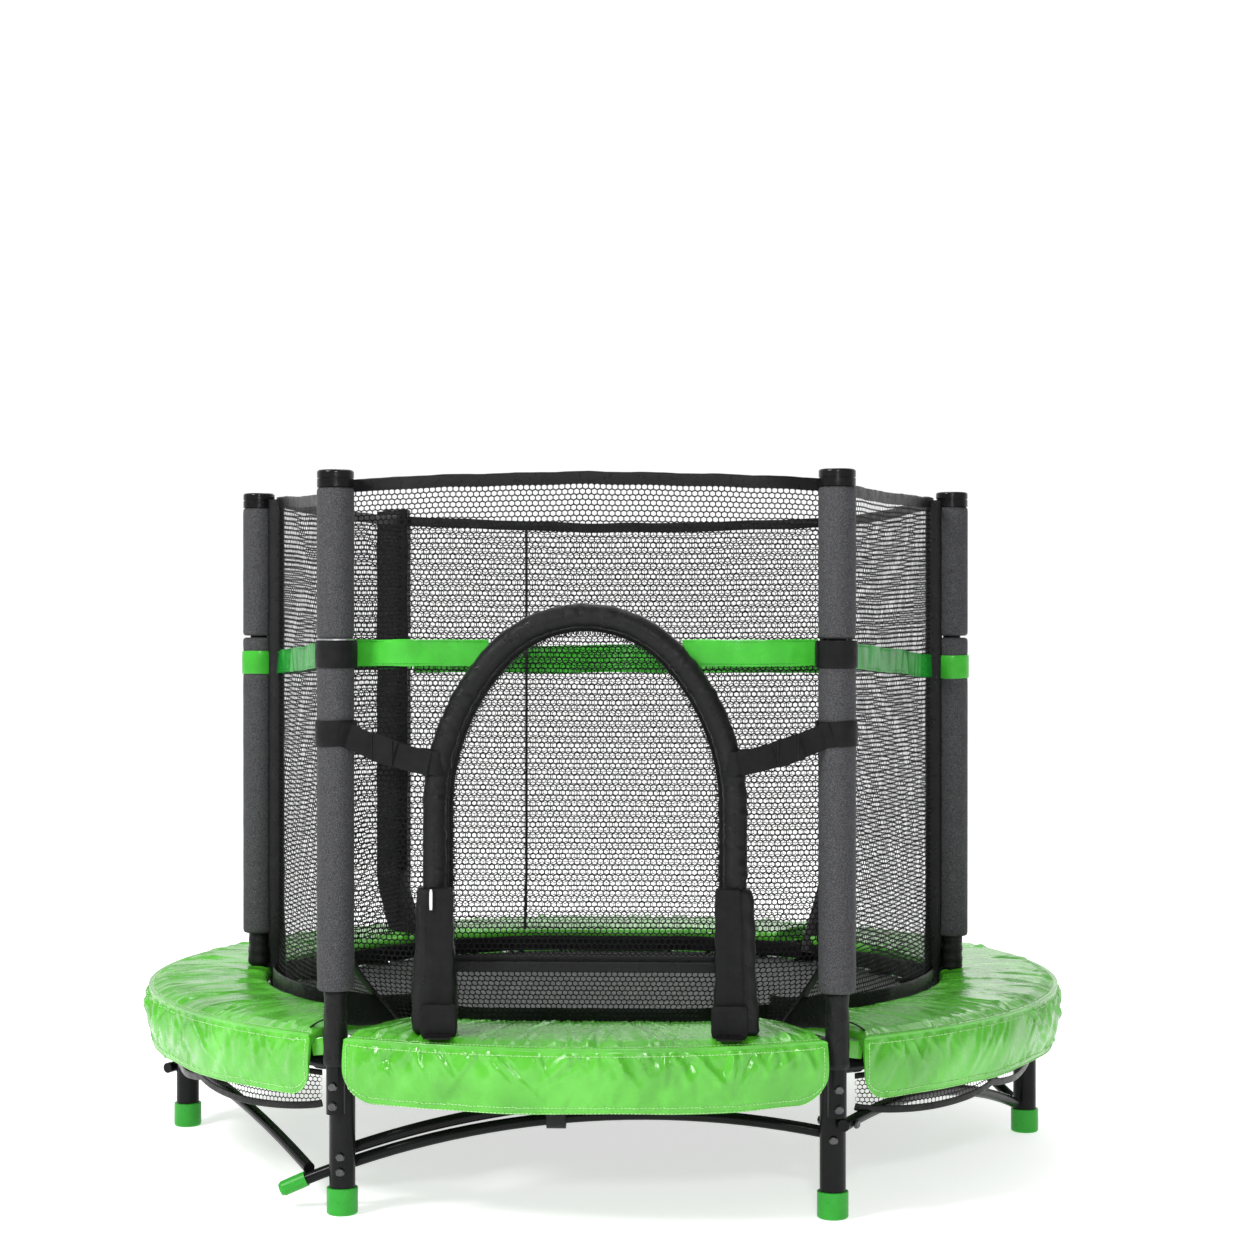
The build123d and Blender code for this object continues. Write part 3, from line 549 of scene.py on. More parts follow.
def skirt_creases(s, down, hang, run, seed):
    """Height of the creases on a skirt: from its seam, from its hem, and the large slanting folds."""
    field = np.zeros_like(down)
    crease_field(field, s, down, seed + 11, run / 0.0085, 1 * MM, (0.014, 0.07), (1.0, 3.8), (1.8, 4.6), 0.8)
    crease_field(field, s, hang, seed + 12, run / 0.011, 1 * MM, (0.012, 0.05), (0.9, 3.2), (1.8, 4.8), 0.8)
    crease_field(field, s, down, seed + 13, run / 0.026, 2 * MM, (0.05, 0.09), (3.0, 6.5), (4.5, 10), 1.3)
    field += 2.2 * MM * wander(s, seed + 14, 0.21) * smooth(down / 0.06)
    slant = 2.4 * MM * wander(s + 0.9 * down, seed + 15, 0.055)
    return field + slant * smooth(down / 0.02) * smooth(hang / 0.015)


def make_pad(label, first, last, seed):
    """A foam pad in a sewn vinyl cover, its creases and puckers, with the skirt that hangs from its edge."""
    low_a, high_a = math.radians(POLE_DEG[first] % 360), math.radians(POLE_DEG[last] % 360)
    high_a += TAU if high_a < low_a else 0
    gap = PAD_GAPS[label]
    span = high_a - low_a - 2 * gap / PAD_R
    run = span * PAD_R
    ends = np.array([0, 0.5, 1.4, 2.6, 4.2, 6.2, 8.6, 11.4]) * MM / run
    between = np.linspace(ends[-1], 1 - ends[-1], int(run / 0.0033))[1:-1]
    t = np.concatenate([ends, between, (1 - ends)[::-1]])
    s = t * run
    from_end = np.minimum(s, run - s)
    inner = pad_inner(low_a + gap / PAD_R + t * span)
    corner = 42 * MM
    rounding = corner - np.sqrt(np.maximum(corner**2 - np.maximum(corner - from_end, 0) ** 2, 0))
    low = np.minimum(SKIRT_LOW + 2 * MM + rounding, SEAM_Z - 16 * MM) + 1.2 * MM * wander(s, seed + 5, 0.16)
    section = np.stack([pad_section(*pair) for pair in zip(inner, low)])
    tangent = unit(np.gradient(section, axis=1))
    nr, nz = -tangent[..., 1], tangent[..., 0]
    r, z = section[..., 0], section[..., 1]
    inset = int(np.argmin(np.abs(PAD_R - 10 * MM - r[len(t) // 2, : TOP_ROWS - 5])))
    skirt_end = TOP_ROWS + SKIRT_ROWS
    tops, skirts = slice(4, TOP_ROWS - 5), slice(TOP_ROWS, skirt_end)
    lift = np.zeros_like(r)
    lift[:, tops] = top_creases(s[:, None], PAD_R - 3 * MM - r[:, tops], PAD_R - inner.mean(), run, seed)
    down = SEAM_Z - z[:, skirts]
    lift[:, skirts] = skirt_creases(s[:, None], down, (SEAM_Z - low)[:, None] - down, run, seed)
    behind = HEM_ROWS + BACK_ROWS
    lift[:, skirt_end:skirt_end + behind] = lift[:, skirt_end - 1:skirt_end] * np.linspace(1, 0, behind)
    lift *= smooth(from_end / (9 * MM))[:, None]
    r, z = r + nr * lift, z + nz * lift
    mid = PAD_TOP - 11 * MM
    puff = np.sqrt(np.clip(1 - (1 - np.clip(from_end / (10 * MM), 0, 1)) ** 2, 0, 1))[:, None]
    row = np.arange(z.shape[1])
    slab = (row < TOP_ROWS) | (row >= len(row) - UNDER_ROWS)
    z = np.where(slab, mid + (z - mid) * (0.25 + 0.75 * puff), z)
    start, end = low_a + np.arcsin(gap / r), high_a - np.arcsin(gap / r)
    theta = start + t[:, None] * (end - start)
    points = np.stack([r * np.cos(theta), r * np.sin(theta), z], -1)
    normal = np.stack([nr * np.cos(theta), nr * np.sin(theta), nz], -1)
    shape, sewn = Shape(), Shape()
    shape.solid(points)
    pad = shape.make(label + "_cover", GREEN_VINYL, slot="green_vinyl", sharp=0)
    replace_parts(pad, label)
    keep = from_end > 6 * MM
    for column in (inset, TOP_ROWS + 2, skirt_end - 4, skirt_end - 1):
        out = normal[keep, column]
        stitches(sewn, points[keep, column] + out * 0.25 * MM, out)
    for at in (5, len(t) - 6):
        out = normal[at, TOP_ROWS + 2:skirt_end - 3]
        stitches(sewn, points[at, TOP_ROWS + 2:skirt_end - 3] + out * 0.3 * MM, out)
    sewn.make(label + "_stitching", THREAD, slot="green_vinyl", sharp=0)


# ---------------------------------------------------------------- jumping mat, rings and springs
SPRING_INNER, SPRING_OUTER = 0.528, 0.639
COIL_TURNS, COIL_R, COIL_WIRE = 22, 6.4 * MM, 1.05 * MM


def make_mat():
    outer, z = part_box("jump_mat")[1].x, middle("jump_mat")[2]
    edge = outer - np.array([40, 38.5, 37, 25, 12, 4, 1.2, 0]) * MM
    radii = np.concatenate([[0.004], np.linspace(0.03, outer - 0.045, 14), edge])
    lift = np.concatenate([np.full(15, 0.9), [0.9, 1.6, 2.0, 2.0, 2.0, 1.9, 1.3, 0.2]]) * MM
    rows = []
    for radius, height in list(zip(radii, lift)) + list(zip(radii[::-1], -lift[::-1])):
        sag = 2.5 * MM * (1 - (radius / outer) ** 2)
        rows.append(around((0, 0), radius, turns(240), z + height - sag))
    shape, sewn = Shape(), Shape()
    shape.solid(rows[::-1])
    bed = shape.make("jump_mat_bed", MAT_WEAVE, "mat", "mat_weave", sharp=30)
    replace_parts(bed, "jump_mat")
    for inset in (8, 22, 36):
        line = around((0, 0), outer - inset * MM, np.linspace(0, TAU, 400), z + 2.1 * MM)
        stitches(sewn, line, UP, 8 * MM, 5.5 * MM, 0.5 * MM)
    sewn.make("jump_mat_stitching", BLACK_THREAD, "mat", "mat_weave", sharp=0)


def leg_degrees(n):
    return math.degrees(math.atan2(*middle("leg_" + n)[1::-1])) % 360


def spring_angles():
    legs = sorted(leg_degrees(n) for n in NAMES)
    found = []
    for start, end in zip(legs, legs[1:] + [legs[0] + 360]):
        count = int(round(end - start, 3) // 9.5)
        found += [math.radians(start + (k + 0.5) * (end - start) / count) for k in range(count)]
    return found


def make_springs():
    tabs = Shape()
    tab_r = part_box("jump_mat")[1].x + np.array([-26, -10, 0, 2.6, 1.5, -10]) * MM
    tab_z = RING_Z + np.array([3.0, 3.0, 2.4, 0, -2.6, -3.2]) * MM
    u = np.linspace(0, 1, COIL_TURNS * 9)
    spin = (u * COIL_TURNS * TAU)[:, None]
    coil_r = SPRING_INNER + 13 * MM + u[:, None] * (SPRING_OUTER - SPRING_INNER - 26 * MM)
    for k, angle in enumerate(spring_angles()):
        way = np.array([math.cos(angle), math.sin(angle), 0])
        side = np.array([-way[1], way[0], 0])
        coil = way * coil_r + COIL_R * (np.cos(spin) * UP + np.sin(spin) * side) + UP * RING_Z
        hooks = [
            [way * (radius + r * MM) + UP * (RING_Z + z * MM) for r, z in hook]
            for radius, hook in (
                (SPRING_INNER, ((2, -3), (-1, 0), (2, 3), (7, 2))),
                (SPRING_OUTER, ((-7, 2), (-3, 3.5), (-0.6, 0.5), (-2, -3))),
            )
        ]
        shape = Shape()
        shape.tube(np.concatenate([hooks[0], coil, hooks[1]]), circle(COIL_WIRE, 6), way + 0.001 * side)
        spring = shape.make(f"spring_{k:02d}", SPRING_STEEL, None, "spring_steel", sharp=0)
        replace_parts(spring, "springs")
        start, end = (tuple(way * radius + UP * RING_Z) for radius in (SPRING_OUTER, SPRING_INNER))
        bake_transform(spring)
        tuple(start)
        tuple(end)
        for offset in (-8.5 * MM, 8.5 * MM):
            strap = way * tab_r[:, None] + side * offset
            strap[:, 2] = tab_z
            tabs.strip(strap, 7 * MM, 0.9 * MM, side, 8)
    tabs.make("mat_ring_tabs", BLACK_WEB, "mat", "mat_weave", sharp=50)


# ---------------------------------------------------------------- safety net
PITCH = 7.8 * MM
KNEE = 0.345  # height where the net starts to lean in to its foot
NET_LOW = top("jump_mat") + 7 * MM
FOOT_TURN = {"back_left": 8.0, "back_right": -8.0}  # degrees from a pole's line to its net corner's foot
RIM_ENDS = {
    "net_front_left": (0.985, 0.966), "net_front": (0.979, 0.979), "net_front_right": (0.977, 0.982),
    "net_back_right": (0.982, 0.972), "net_back": (0.972, 0.976), "net_back_left": (0.976, 0.985),
}
RIM_MIDDLE = {"net_front": 0.987, "net_back": 0.964}
OPEN_SHARE = {"net_front": 0.79, "net_back": 0.86}  # of a hole's spacing; the side panels hang bunched


class Panel:
    """One net panel between two poles: maps a distance along it and a share of its height to a place."""

    def __init__(self, node, first, last):
        self.node, self.first, self.last = node, first, last
        self.a, self.b = NET_CORNER[first], NET_CORNER[last]
        self.width = float(np.linalg.norm(self.b - self.a))
        self.out = unit(np.array([(self.b - self.a)[1], -(self.b - self.a)[0]]))
        if self.out @ (self.a + self.b) < 0:
            self.out = -self.out
        self.foot_start = POLE_DEG[first] + FOOT_TURN.get(first, 0)
        self.foot_span = (POLE_DEG[last] + FOOT_TURN.get(last, 0) - self.foot_start) % 360
        self.ends = RIM_ENDS[node]
        self.high = RIM_MIDDLE.get(node, sum(self.ends) / 2 - 4 * MM)
        self.height = self.high - NET_LOW

    def rim(self, u):
        ends = self.ends[0] + (self.ends[1] - self.ends[0]) * u
        bow = (self.high - sum(self.ends) / 2) * np.sin(math.pi * u) ** 1.3
        return ends + bow + 1.5 * MM * wander(u * self.width, len(self.node), 0.15)

    def plan_at(self, u, z):
        line = self.a + (self.b - self.a) * u[:, None]
        if self.node == "net_front":
            bow = 25 * MM * smooth((0.3175 - np.abs(line[:, 0])) / 0.085)
        else:
            s = u * self.width
            bow = 5 * MM + 2.5 * MM * wander(s + z * 0.35, 31, 0.3)
            bow = bow + 1.3 * MM * wander(s * 1.2 + z * 0.5, 32, 0.05)
            bow = bow * np.sin(math.pi * u)
        line = line + self.out * bow[:, None]
        turn = np.radians(self.foot_start + self.foot_span * u)
        foot = np.stack([np.cos(turn), np.sin(turn)], -1) * (pad_inner(turn) - 9 * MM)[:, None]
        slope = np.clip((KNEE - z) / (KNEE - NET_LOW), 0, 1)[:, None] ** 1.15
        return line * (1 - slope) + foot * slope

    def place(self, u, v):
        u, v = np.asarray(u, float), np.asarray(v, float)
        z = NET_LOW + v * (self.rim(u) - NET_LOW)
        return np.column_stack([self.plan_at(u, z), z])


PANELS = {node: Panel(node, NAMES[k - 1], NAMES[k]) for k, node in enumerate(RIM_ENDS)}


def hex_sheet(width, height, keep=None, pitch=PITCH, open_share=0.8):
    """A knitted mesh of six-sided holes, flat: points and four-sided faces, the cords between the holes."""
    row = pitch * 0.9
    nx, ny = int(width / pitch), int(height / row)
    i, j = np.meshgrid(np.arange(nx + 1), np.arange(ny + 1), indexing="ij")
    i, j = i.ravel(), j.ravel()
    x0, y0 = (width - nx * pitch) / 2, (height - ny * row) / 2
    cx, cy = x0 + (i + 0.5 * (j % 2)) * pitch, y0 + j * row
    ok = (cx > pitch * 0.4) & (cx < width - pitch * 0.4) & (cy > row * 0.4) & (cy < height - row * 0.4)
    if keep is not None:
        ok &= keep(cx, cy)
    cx, cy = cx[ok][:, None], cy[ok][:, None]
    ox = np.array([0, 1, 1, 0, -1, -1]) * pitch / 2
    oy = np.array([2, 1, -1, -2, -1, 1]) * row / 3
    outer = np.stack([cx + ox, cy + oy], -1)
    key = np.round(outer / [pitch / 2, row / 3] * 4).astype(int).reshape(-1, 2)
    _, first, back = np.unique(key, axis=0, return_index=True, return_inverse=True)
    shared = outer.reshape(-1, 2)[first]
    back = back.reshape(-1, 6)
    shrink = open_share * np.array([0.93, 1.03, 1.03, 0.93, 1.03, 1.03])
    inner = np.stack([cx + ox * shrink, cy + oy * shrink], -1).reshape(-1, 2)
    base = len(shared) + 6 * np.arange(len(cx))
    faces = []
    for k in range(6):
        n = (k + 1) % 6
        faces.append(np.stack([back[:, k], back[:, n], base + n, base + k], -1))
    return np.concatenate([shared, inner]), np.concatenate(faces)


def bunched(points, seed, fine_seed):
    """The flat net pushed about in its own plane, as knitted cloth lies."""
    x, y = points[:, 0], points[:, 1]
    push = np.stack([wander(y + 0.3 * x, seed, 0.11), wander(x - 0.4 * y, seed + 1, 0.13)], -1)
    return points + 1.6 * MM * push + 0.8 * MM * wander(points, fine_seed, 0.021)


def net_area(points, faces):
    p = points[faces]
    d1, d2 = p[:, 2] - p[:, 0], p[:, 3] - p[:, 1]
    return float(np.abs(d1[:, 0] * d2[:, 1] - d1[:, 1] * d2[:, 0]).sum() / 2)


def outside_doorway(cx, cy):
    """Which holes of the front panel lie outside the doorway."""
    x = cx - PANELS["net_front"].width / 2
    return ~in_arch(x, NET_LOW + cy, DOORWAY_HALF_W + 3 * MM, DOORWAY_TOP + 3 * MM, DOOR_LOW - 3 * MM)


def make_net(number, node, panel):
    front = node == "net_front"
    keep = outside_doorway if front else None
    flat, faces = hex_sheet(panel.width, panel.height, keep, open_share=OPEN_SHARE.get(node, 0.7))
    size = np.array([panel.width, panel.height])
    if front:
        u, v = (flat / size).T
        p = panel.place(u, v)
        lift = smooth((v - 0.8) / 0.2)
        p[:, 2] = (NET_LOW + flat[:, 1]) * (1 - lift) + p[:, 2] * lift
        p[:, :2] = panel.plan_at(u, p[:, 2])
    else:
        p = panel.place(*np.clip(bunched(flat, number * 7, number) / size, 0, 1).T)
    shape = Shape()
    shape.add(p, faces.tolist())
    net = shape.make(node + "_mesh", NET_CORD, slot="net_mesh", sharp=0, closed=False)
    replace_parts(net, node)
    max(net_area(flat, faces), 0.302 * panel.width * panel.height)


def make_net_hem(path, width, thick, name, drop):
    """A closed band of cloth, standing on edge; its width and its drop may change along the way."""
    closed = np.concatenate([path[-2:], path, path[:3]])
    width = np.broadcast_to(width, len(path))
    section = np.stack([flat_section(w, thick) for w in np.concatenate([width[-2:], width, width[:3]])])
    rings = sweep(closed, section, level_out(closed))[2:-3]
    ripple = 0.6 * MM * wander(np.arange(len(rings)) * 0.01, 9, 0.05)
    rings = rings + ripple[:, None, None] * np.array([0.3, 0.3, 1.0])
    rings[:, :, 2] += np.broadcast_to(drop, len(path))[:, None]
    shape = Shape()
    shape.grid(rings, wrap_u=True, wrap_v=True)
    shape.make(name, BLACK_CLOTH, slot="net_mesh", sharp=50)


def corner_sleeve(n, panel):
    """Its middle beside the net's corner, its width, depth and top, and the way its face looks."""
    if n.startswith("front"):
        return np.zeros(2), 12 * MM, 5 * MM, panel.ends[0] - 4 * MM, np.array([*POLE_WAY[n], 0])
    if n.startswith("back"):
        return POLE_WAY[n] * 29 * MM - [4 * MM, 33 * MM], 56 * MM, 13 * MM, 0.988, TO_FRONT
    return np.array([0, -11 * MM]), 26 * MM, 20 * MM, panel.ends[0] - 2 * MM, TO_FRONT


def make_nets():
    for number, (node, panel) in enumerate(PANELS.items()):
        make_net(number, node, panel)
    u = np.linspace(0, 1, 60)
    rim, foot = (
        np.concatenate([p.place(u, np.full(60, v))[:-1] for p in PANELS.values()]) for v in (1.0, 0.0)
    )
    foot_width = 26 * MM + 27 * MM * smooth((0.25 - foot[:, 1]) / 0.4)
    make_net_hem(rim, 17 * MM, 2.6 * MM, "net_top_hem", -5 * MM)
    make_net_hem(foot, foot_width, 3.0 * MM, "net_bottom_hem", foot_width / 2 - 5 * MM)
    seams = Shape()
    for n in NAMES:
        panel = next(p for p in PANELS.values() if p.first == n)
        beside, width, depth, high, way = corner_sleeve(n, panel)
        z = np.concatenate([np.linspace(NET_LOW, KNEE + 0.01, 14), np.linspace(KNEE + 0.02, high, 60)])
        at = panel.plan_at(np.zeros(len(z)), z) + beside * smooth((z - NET_LOW) / (KNEE - NET_LOW))[:, None]
        swell = 1 + 0.05 * wander(z, 3 + len(n), 0.09)
        section = np.stack([flat_section(width * k, depth * k, 24, 0.6) for k in swell])
        seams.tube(np.column_stack([at, z]), section, way)
    back = PANELS["net_back"]
    seam_line = back.place(np.full(50, 0.5 + 0.16 / back.width), np.linspace(0.01, 0.99, 50))
    seams.strip(seam_line, 5 * MM, 1.6 * MM, -TO_FRONT, 8)
    seams.make("net_seams", BLACK_CLOTH, slot="net_mesh", sharp=50)


# ---------------------------------------------------------------- gate
def make_gate_sleeve():
    path = arch_path(ARCH_HALF_W, ARCH_TOP, bottom("gate_sleeve") + 2 * MM, ARCH_Y, 330)
    run = run_along(path)
    even = np.arange(0, run[-1], 1.9 * MM)
    path = np.stack([np.interp(even, run, path[:, k]) for k in range(3)], -1)
    s, a = np.meshgrid(even, turns(40), indexing="ij")
    folds = np.zeros_like(s)
    r = np.random.default_rng(55)
    for _ in range(260):
        at, turn = r.uniform(0, run[-1]), r.uniform(0, TAU)
        wide, tall = r.uniform(2.5, 8) * MM, r.uniform(0.6, 2.2) * MM
        reach, slant = r.uniform(0.6, 1.7), r.uniform(-6, 6) * MM
        d = (a - turn + math.pi) % TAU - math.pi
        x = (s - at - slant * d) / wide
        folds += tall * (np.exp(-x * x) - 0.6 * np.exp(-((x / 1.8) ** 2))) * np.exp(-((d / reach) ** 2))
    folds += 0.5 * MM * wander(s + a * 3 * MM, 77, 0.045)
    seam = 1.0 * MM * np.exp(-(((a - 4.25) / 0.09) ** 2)) - 0.7 * MM * np.exp(-(((a - 4.02) / 0.09) ** 2))
    thick = (SLEEVE_R - 0.9 * MM) * (1 + 0.03 * wander(s, 78, 0.2)) + folds + seam
    shape = Shape()
    shape.tube(path, np.stack([np.cos(a) * thick, np.sin(a) * thick], -1), TO_FRONT)
    sleeve = shape.make("gate_sleeve_padding", BLACK_CLOTH, slot="black_fabric", sharp=0)
    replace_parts(sleeve, "gate_sleeve")


def level_line(half_w, y, z):
    return np.array([[x, y, z] for x in np.linspace(-half_w, half_w, 40)])


def make_doorway():
    """The binding sewn round the doorway."""
    trim = Shape()
    edge = arch_path(DOORWAY_HALF_W + 9 * MM, DOORWAY_TOP + 9 * MM, DOOR_LOW, DOORWAY_Y)
    for line in (edge, level_line(DOORWAY_HALF_W + 8 * MM, DOORWAY_Y, DOOR_LOW - 2 * MM)):
        trim.strip(line, 14 * MM, 1.8 * MM, TO_FRONT, 12)
    trim.make("doorway_binding", BLACK_CLOTH, slot="black_fabric", sharp=50)


def make_door():
    half_w, high, low = half_size("gate_door", 0), top("gate_door"), DOOR_LOW

    def keep(cx, cy):
        return in_arch(cx - half_w, cy + low, half_w - 3 * MM, high - 3 * MM, low + 2 * MM)

    flat, faces = hex_sheet(2 * half_w, high - low, keep)
    x = flat[:, 0] - half_w
    billow = 1.5 * MM * np.sin(math.pi * np.clip(flat[:, 1] / (high - low), 0, 1)) * wander(x, 12, 0.3)
    shape, binding = Shape(), Shape()
    shape.add(np.stack([x, DOOR_Y + billow, flat[:, 1] + low], -1), faces.tolist())
    door = shape.make("gate_door_mesh", NET_CORD, "door", "door_mesh", sharp=0, closed=False)
    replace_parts(door, "gate_door")
    rim = arch_path(half_w - 3.5 * MM, high - 3.5 * MM, low + 3 * MM, DOOR_Y)
    binding.strip(rim, 7 * MM, 1.8 * MM, TO_FRONT, 12)
    binding.strip(level_line(half_w - 3 * MM, DOOR_Y, low + 6 * MM), 13 * MM, 2.0 * MM, TO_FRONT, 12)
    bound = binding.make("gate_door_binding", BLACK_CLOTH, "door", "door_mesh", sharp=50)
    max(net_area(flat, faces), 0.301 * 2 * half_w * (high - low))


def make_zip_teeth():
    outline = np.array([[-1.8, -0.8], [1.8, -0.8], [1.8, 0.8], [-1.8, 0.8]]) * MM
    line = arch_path(DOORWAY_HALF_W - 4 * MM, DOORWAY_TOP - 4 * MM, DOOR_LOW + 4 * MM, ZIP_Y)
    teeth = Shape()
    for k, (p, t) in enumerate(zip(*resample(line, 3.2 * MM))):
        side = np.cross(t, TO_FRONT)
        sway = 0.7 * MM * (1 if k % 2 else -1)
        corners = [side * (sway + y) - TO_FRONT * z for y, z in outline]
        teeth.solid([[p + t * x + corner for corner in corners] for x in (-0.9 * MM, 0.9 * MM)])
    teeth.make("zip_teeth", BLACK_PLASTIC, slot="black_fabric", sharp=30)


# ---------------------------------------------------------------- foam, belt, wraps, straps and cuffs
def make_foam():
    ends = np.array([0, 0, 0.5, 1.6, 3.2]) * MM
    inset = np.array([5.5, 4.6, 2.6, 1.2, 0.4]) * MM
    for node, seed in (("foam_sleeves_lower", 21), ("foam_sleeves_upper", 22)):
        shape = Shape()
        low, high = bottom(node), top(node)
        between = np.linspace(low + 6 * MM, high - 6 * MM, int((high - low) / 0.006))
        z = np.concatenate([low + ends, between, high - ends[::-1]])
        for k, n in enumerate(NAMES):
            shrink = np.zeros(len(z))
            shrink[:5], shrink[-5:] = inset, inset[::-1]
            shrink[0] = shrink[-1] = FOAM_R - 14.2 * MM
            bands = [(BELT_AT[n], 18 * MM)] + ([(STRAP_Z, 17 * MM)] if n.startswith("front") else [])
            for centre, half in bands:
                shrink += 0.9 * MM * smooth((half + 5 * MM - np.abs(z - centre)) / (7 * MM))
            zz, a = np.meshgrid(z, turns(40), indexing="ij")
            dents = 0.35 * MM * wander(zz + 0.02 * np.sin(a), seed + k, 0.05) * np.cos(a * 2 + k)
            shape.solid(around(POLES[n], FOAM_R - 0.25 * MM - shrink[:, None] + dents, a, zz))
        foam = shape.make(node + "_skin", FOAM, slot="foam", sharp=40)
        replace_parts(foam, node)


def wrap_ring(shape, n, centre, height, thick, seed):
    """A band of webbing wound round a pole's foam, its end lying over its start."""
    start = {"front_left": 0.2, "front_right": math.pi - 0.2}.get(n, math.pi / 2)
    a = np.linspace(start, start + TAU + 0.55, 70)
    lift = thick * 1.05 * smooth((a - start - TAU + 0.5) / 0.5)
    path = around(POLES[n], FOAM_R + 0.2 * MM + thick / 2 + lift, a, centre + 0.5 * MM * np.sin(a * 2 + seed))
    shape.strip(path, height, thick, around((0, 0), 1, a, 0))


def belt_span(shape, sewn, panel, k, low, high, tall):
    """One length of belt along a panel, between two shares of its width, with its two rows of stitches."""
    u = np.linspace(low, high, max(30, int((high - low) * panel.width / 0.004)))
    s = u * panel.width
    out = np.array([*panel.out, 0.0])
    level = BELT_AT[panel.first] + (BELT_AT[panel.last] - BELT_AT[panel.first]) * u
    line = panel.plan_at(u, level) + panel.out * (2.4 * MM + 1.2 * MM * wander(s, 61 + k, 0.09))[:, None]
    path = np.column_stack([line, level + 1.5 * MM * wander(s, 71 + k, 0.25)])
    up = out + UP * 0.12 * wander(s, 81 + k, 0.12)[:, None]
    section = np.stack([flat_section(tall - 0.5 * MM + 0.8 * MM * w, 1.3 * MM) for w in wander(s, 91, 0.06)])
    rings = sweep(path, section, up)
    height = rings[:, :, 2] - path[:, None, 2]
    puff = 0.8 * MM * wander(s, 95 + k, 0.02)[:, None] * np.exp(-((height / 0.011) ** 2))
    shape.solid(rings + puff[..., None] * out)
    for edge in (-1, 1):
        row = path + UP * edge * (tall / 2 - 3.2 * MM) + out * 0.9 * MM
        stitches(sewn, row, out, 4.4 * MM, 3.2 * MM, 0.4 * MM)


def make_belt():
    for node, panel in PANELS.items():
        shape, sewn = Shape(), Shape()
        spans = [(0.02, 0.98)]
        if node == "net_front":
            reach = (panel.width / 2 - 0.128) / panel.width
            spans = [(0.015, reach), (1 - reach, 0.985)]
        for k, (low, high) in enumerate(spans):
            belt_span(shape, sewn, panel, k, low, high, BELT_H * (1.4 if node == "net_back" else 1.0))
        name = node.replace("net", "belt")
        # the belts of the slanting side panels take the darker copy of the green: painted shade
        paint = GREEN_BAND if node in RIM_MIDDLE else SHADED_BAND
        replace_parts(shape.make(name, paint, slot="green_webbing", sharp=50), "belt")
        sewn.make(name + "_stitching", GREEN_THREAD, slot="green_webbing", sharp=0)
    green, black = Shape(), Shape()
    for k, n in enumerate(NAMES):
        if n.startswith("front"):
            wrap_ring(black, n, BELT_AT[n] - 2 * MM, BELT_H, 1.9 * MM, k)
        else:
            wrap_ring(green, n, BELT_AT[n], BELT_H, 1.4 * MM, k)
    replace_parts(green.make("belt_wraps", GREEN_BAND, slot="green_webbing", sharp=50), "belt")
    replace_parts(black.make("belt_wraps_front", BLACK_WEB, slot="black_webbing", sharp=50), "pole_straps")


def make_pole_joint_ring():
    """The bright ring between the two lengths of foam on the front left pole."""
    split = (top("foam_sleeves_lower") + bottom("foam_sleeves_upper")) / 2
    outline = ((-1.3, 14.0), (-1.3, 24.0), (-0.9, 24.7), (0.9, 24.7), (1.3, 24.0), (1.3, 14.0))
    collar = Shape()
    rings = [around(POLES["front_left"], r * MM, turns(48), split + z * MM) for z, r in outline]
    collar.grid(np.array(rings), wrap_v=True)
    collar.make("pole_joint_ring", ZINC, slot="bolt_steel", sharp=30)


def make_straps():
    shape, seams = Shape(), Shape()
    for n, side in (("front_left", -1), ("front_right", 1)):
        wrap_ring(shape, n, STRAP_Z, 34 * MM, 2.0 * MM, 3)
        a = np.linspace(-math.pi / 2 - side * 0.3, -math.pi / 2 - side * 0.75, 14)
        wrapped = around(POLES[n], FOAM_R + 2.2 * MM, a, np.linspace(STRAP_Z + 1 * MM, STRAP_Z - 3 * MM, 14))
        end = np.array([side * (ARCH_HALF_W + 5 * MM), ARCH_Y - 18.2 * MM, STRAP_GATE_Z])
        u = np.linspace(0, 1, 34)[1:, None]
        run = wrapped[-1] + (end - wrapped[-1]) * u - UP * 3.5 * MM * np.sin(math.pi * u)
        path = np.concatenate([wrapped, run])
        twist = TO_FRONT + UP * 0.10 * wander(np.linspace(0, 0.2, len(path)), 5 + side, 0.1)[:, None]
        shape.strip(path, 33 * MM, 1.8 * MM, twist)
        b = np.linspace(-math.pi / 2 - 0.6, TAU - math.pi / 2 + 0.5, 60)
        tilt = side * 4 * MM * np.cos(b)
        loop = around((side * ARCH_HALF_W, ARCH_Y), SLEEVE_R + 1.2 * MM, b, STRAP_GATE_Z + tilt)
        shape.strip(loop, 31 * MM, 1.6 * MM, around((0, 0), 1, b, 0))
        shape.strip(run[8:19] + TO_FRONT * 2.2 * MM, 35 * MM, 2.4 * MM, twist[22:33])
        for k in (9, 17):
            bar = run[k] + TO_FRONT * 3.6 * MM + UP * np.linspace(-17.5, 17.5, 6)[:, None] * MM
            seams.tube(bar, circle(1.1 * MM, 8), TO_FRONT)
    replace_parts(shape.make("gate_straps", BLACK_WEB, slot="black_webbing", sharp=50), "pole_straps")
    seams.make("gate_strap_seams", BLACK_THREAD, slot="black_webbing", sharp=50)


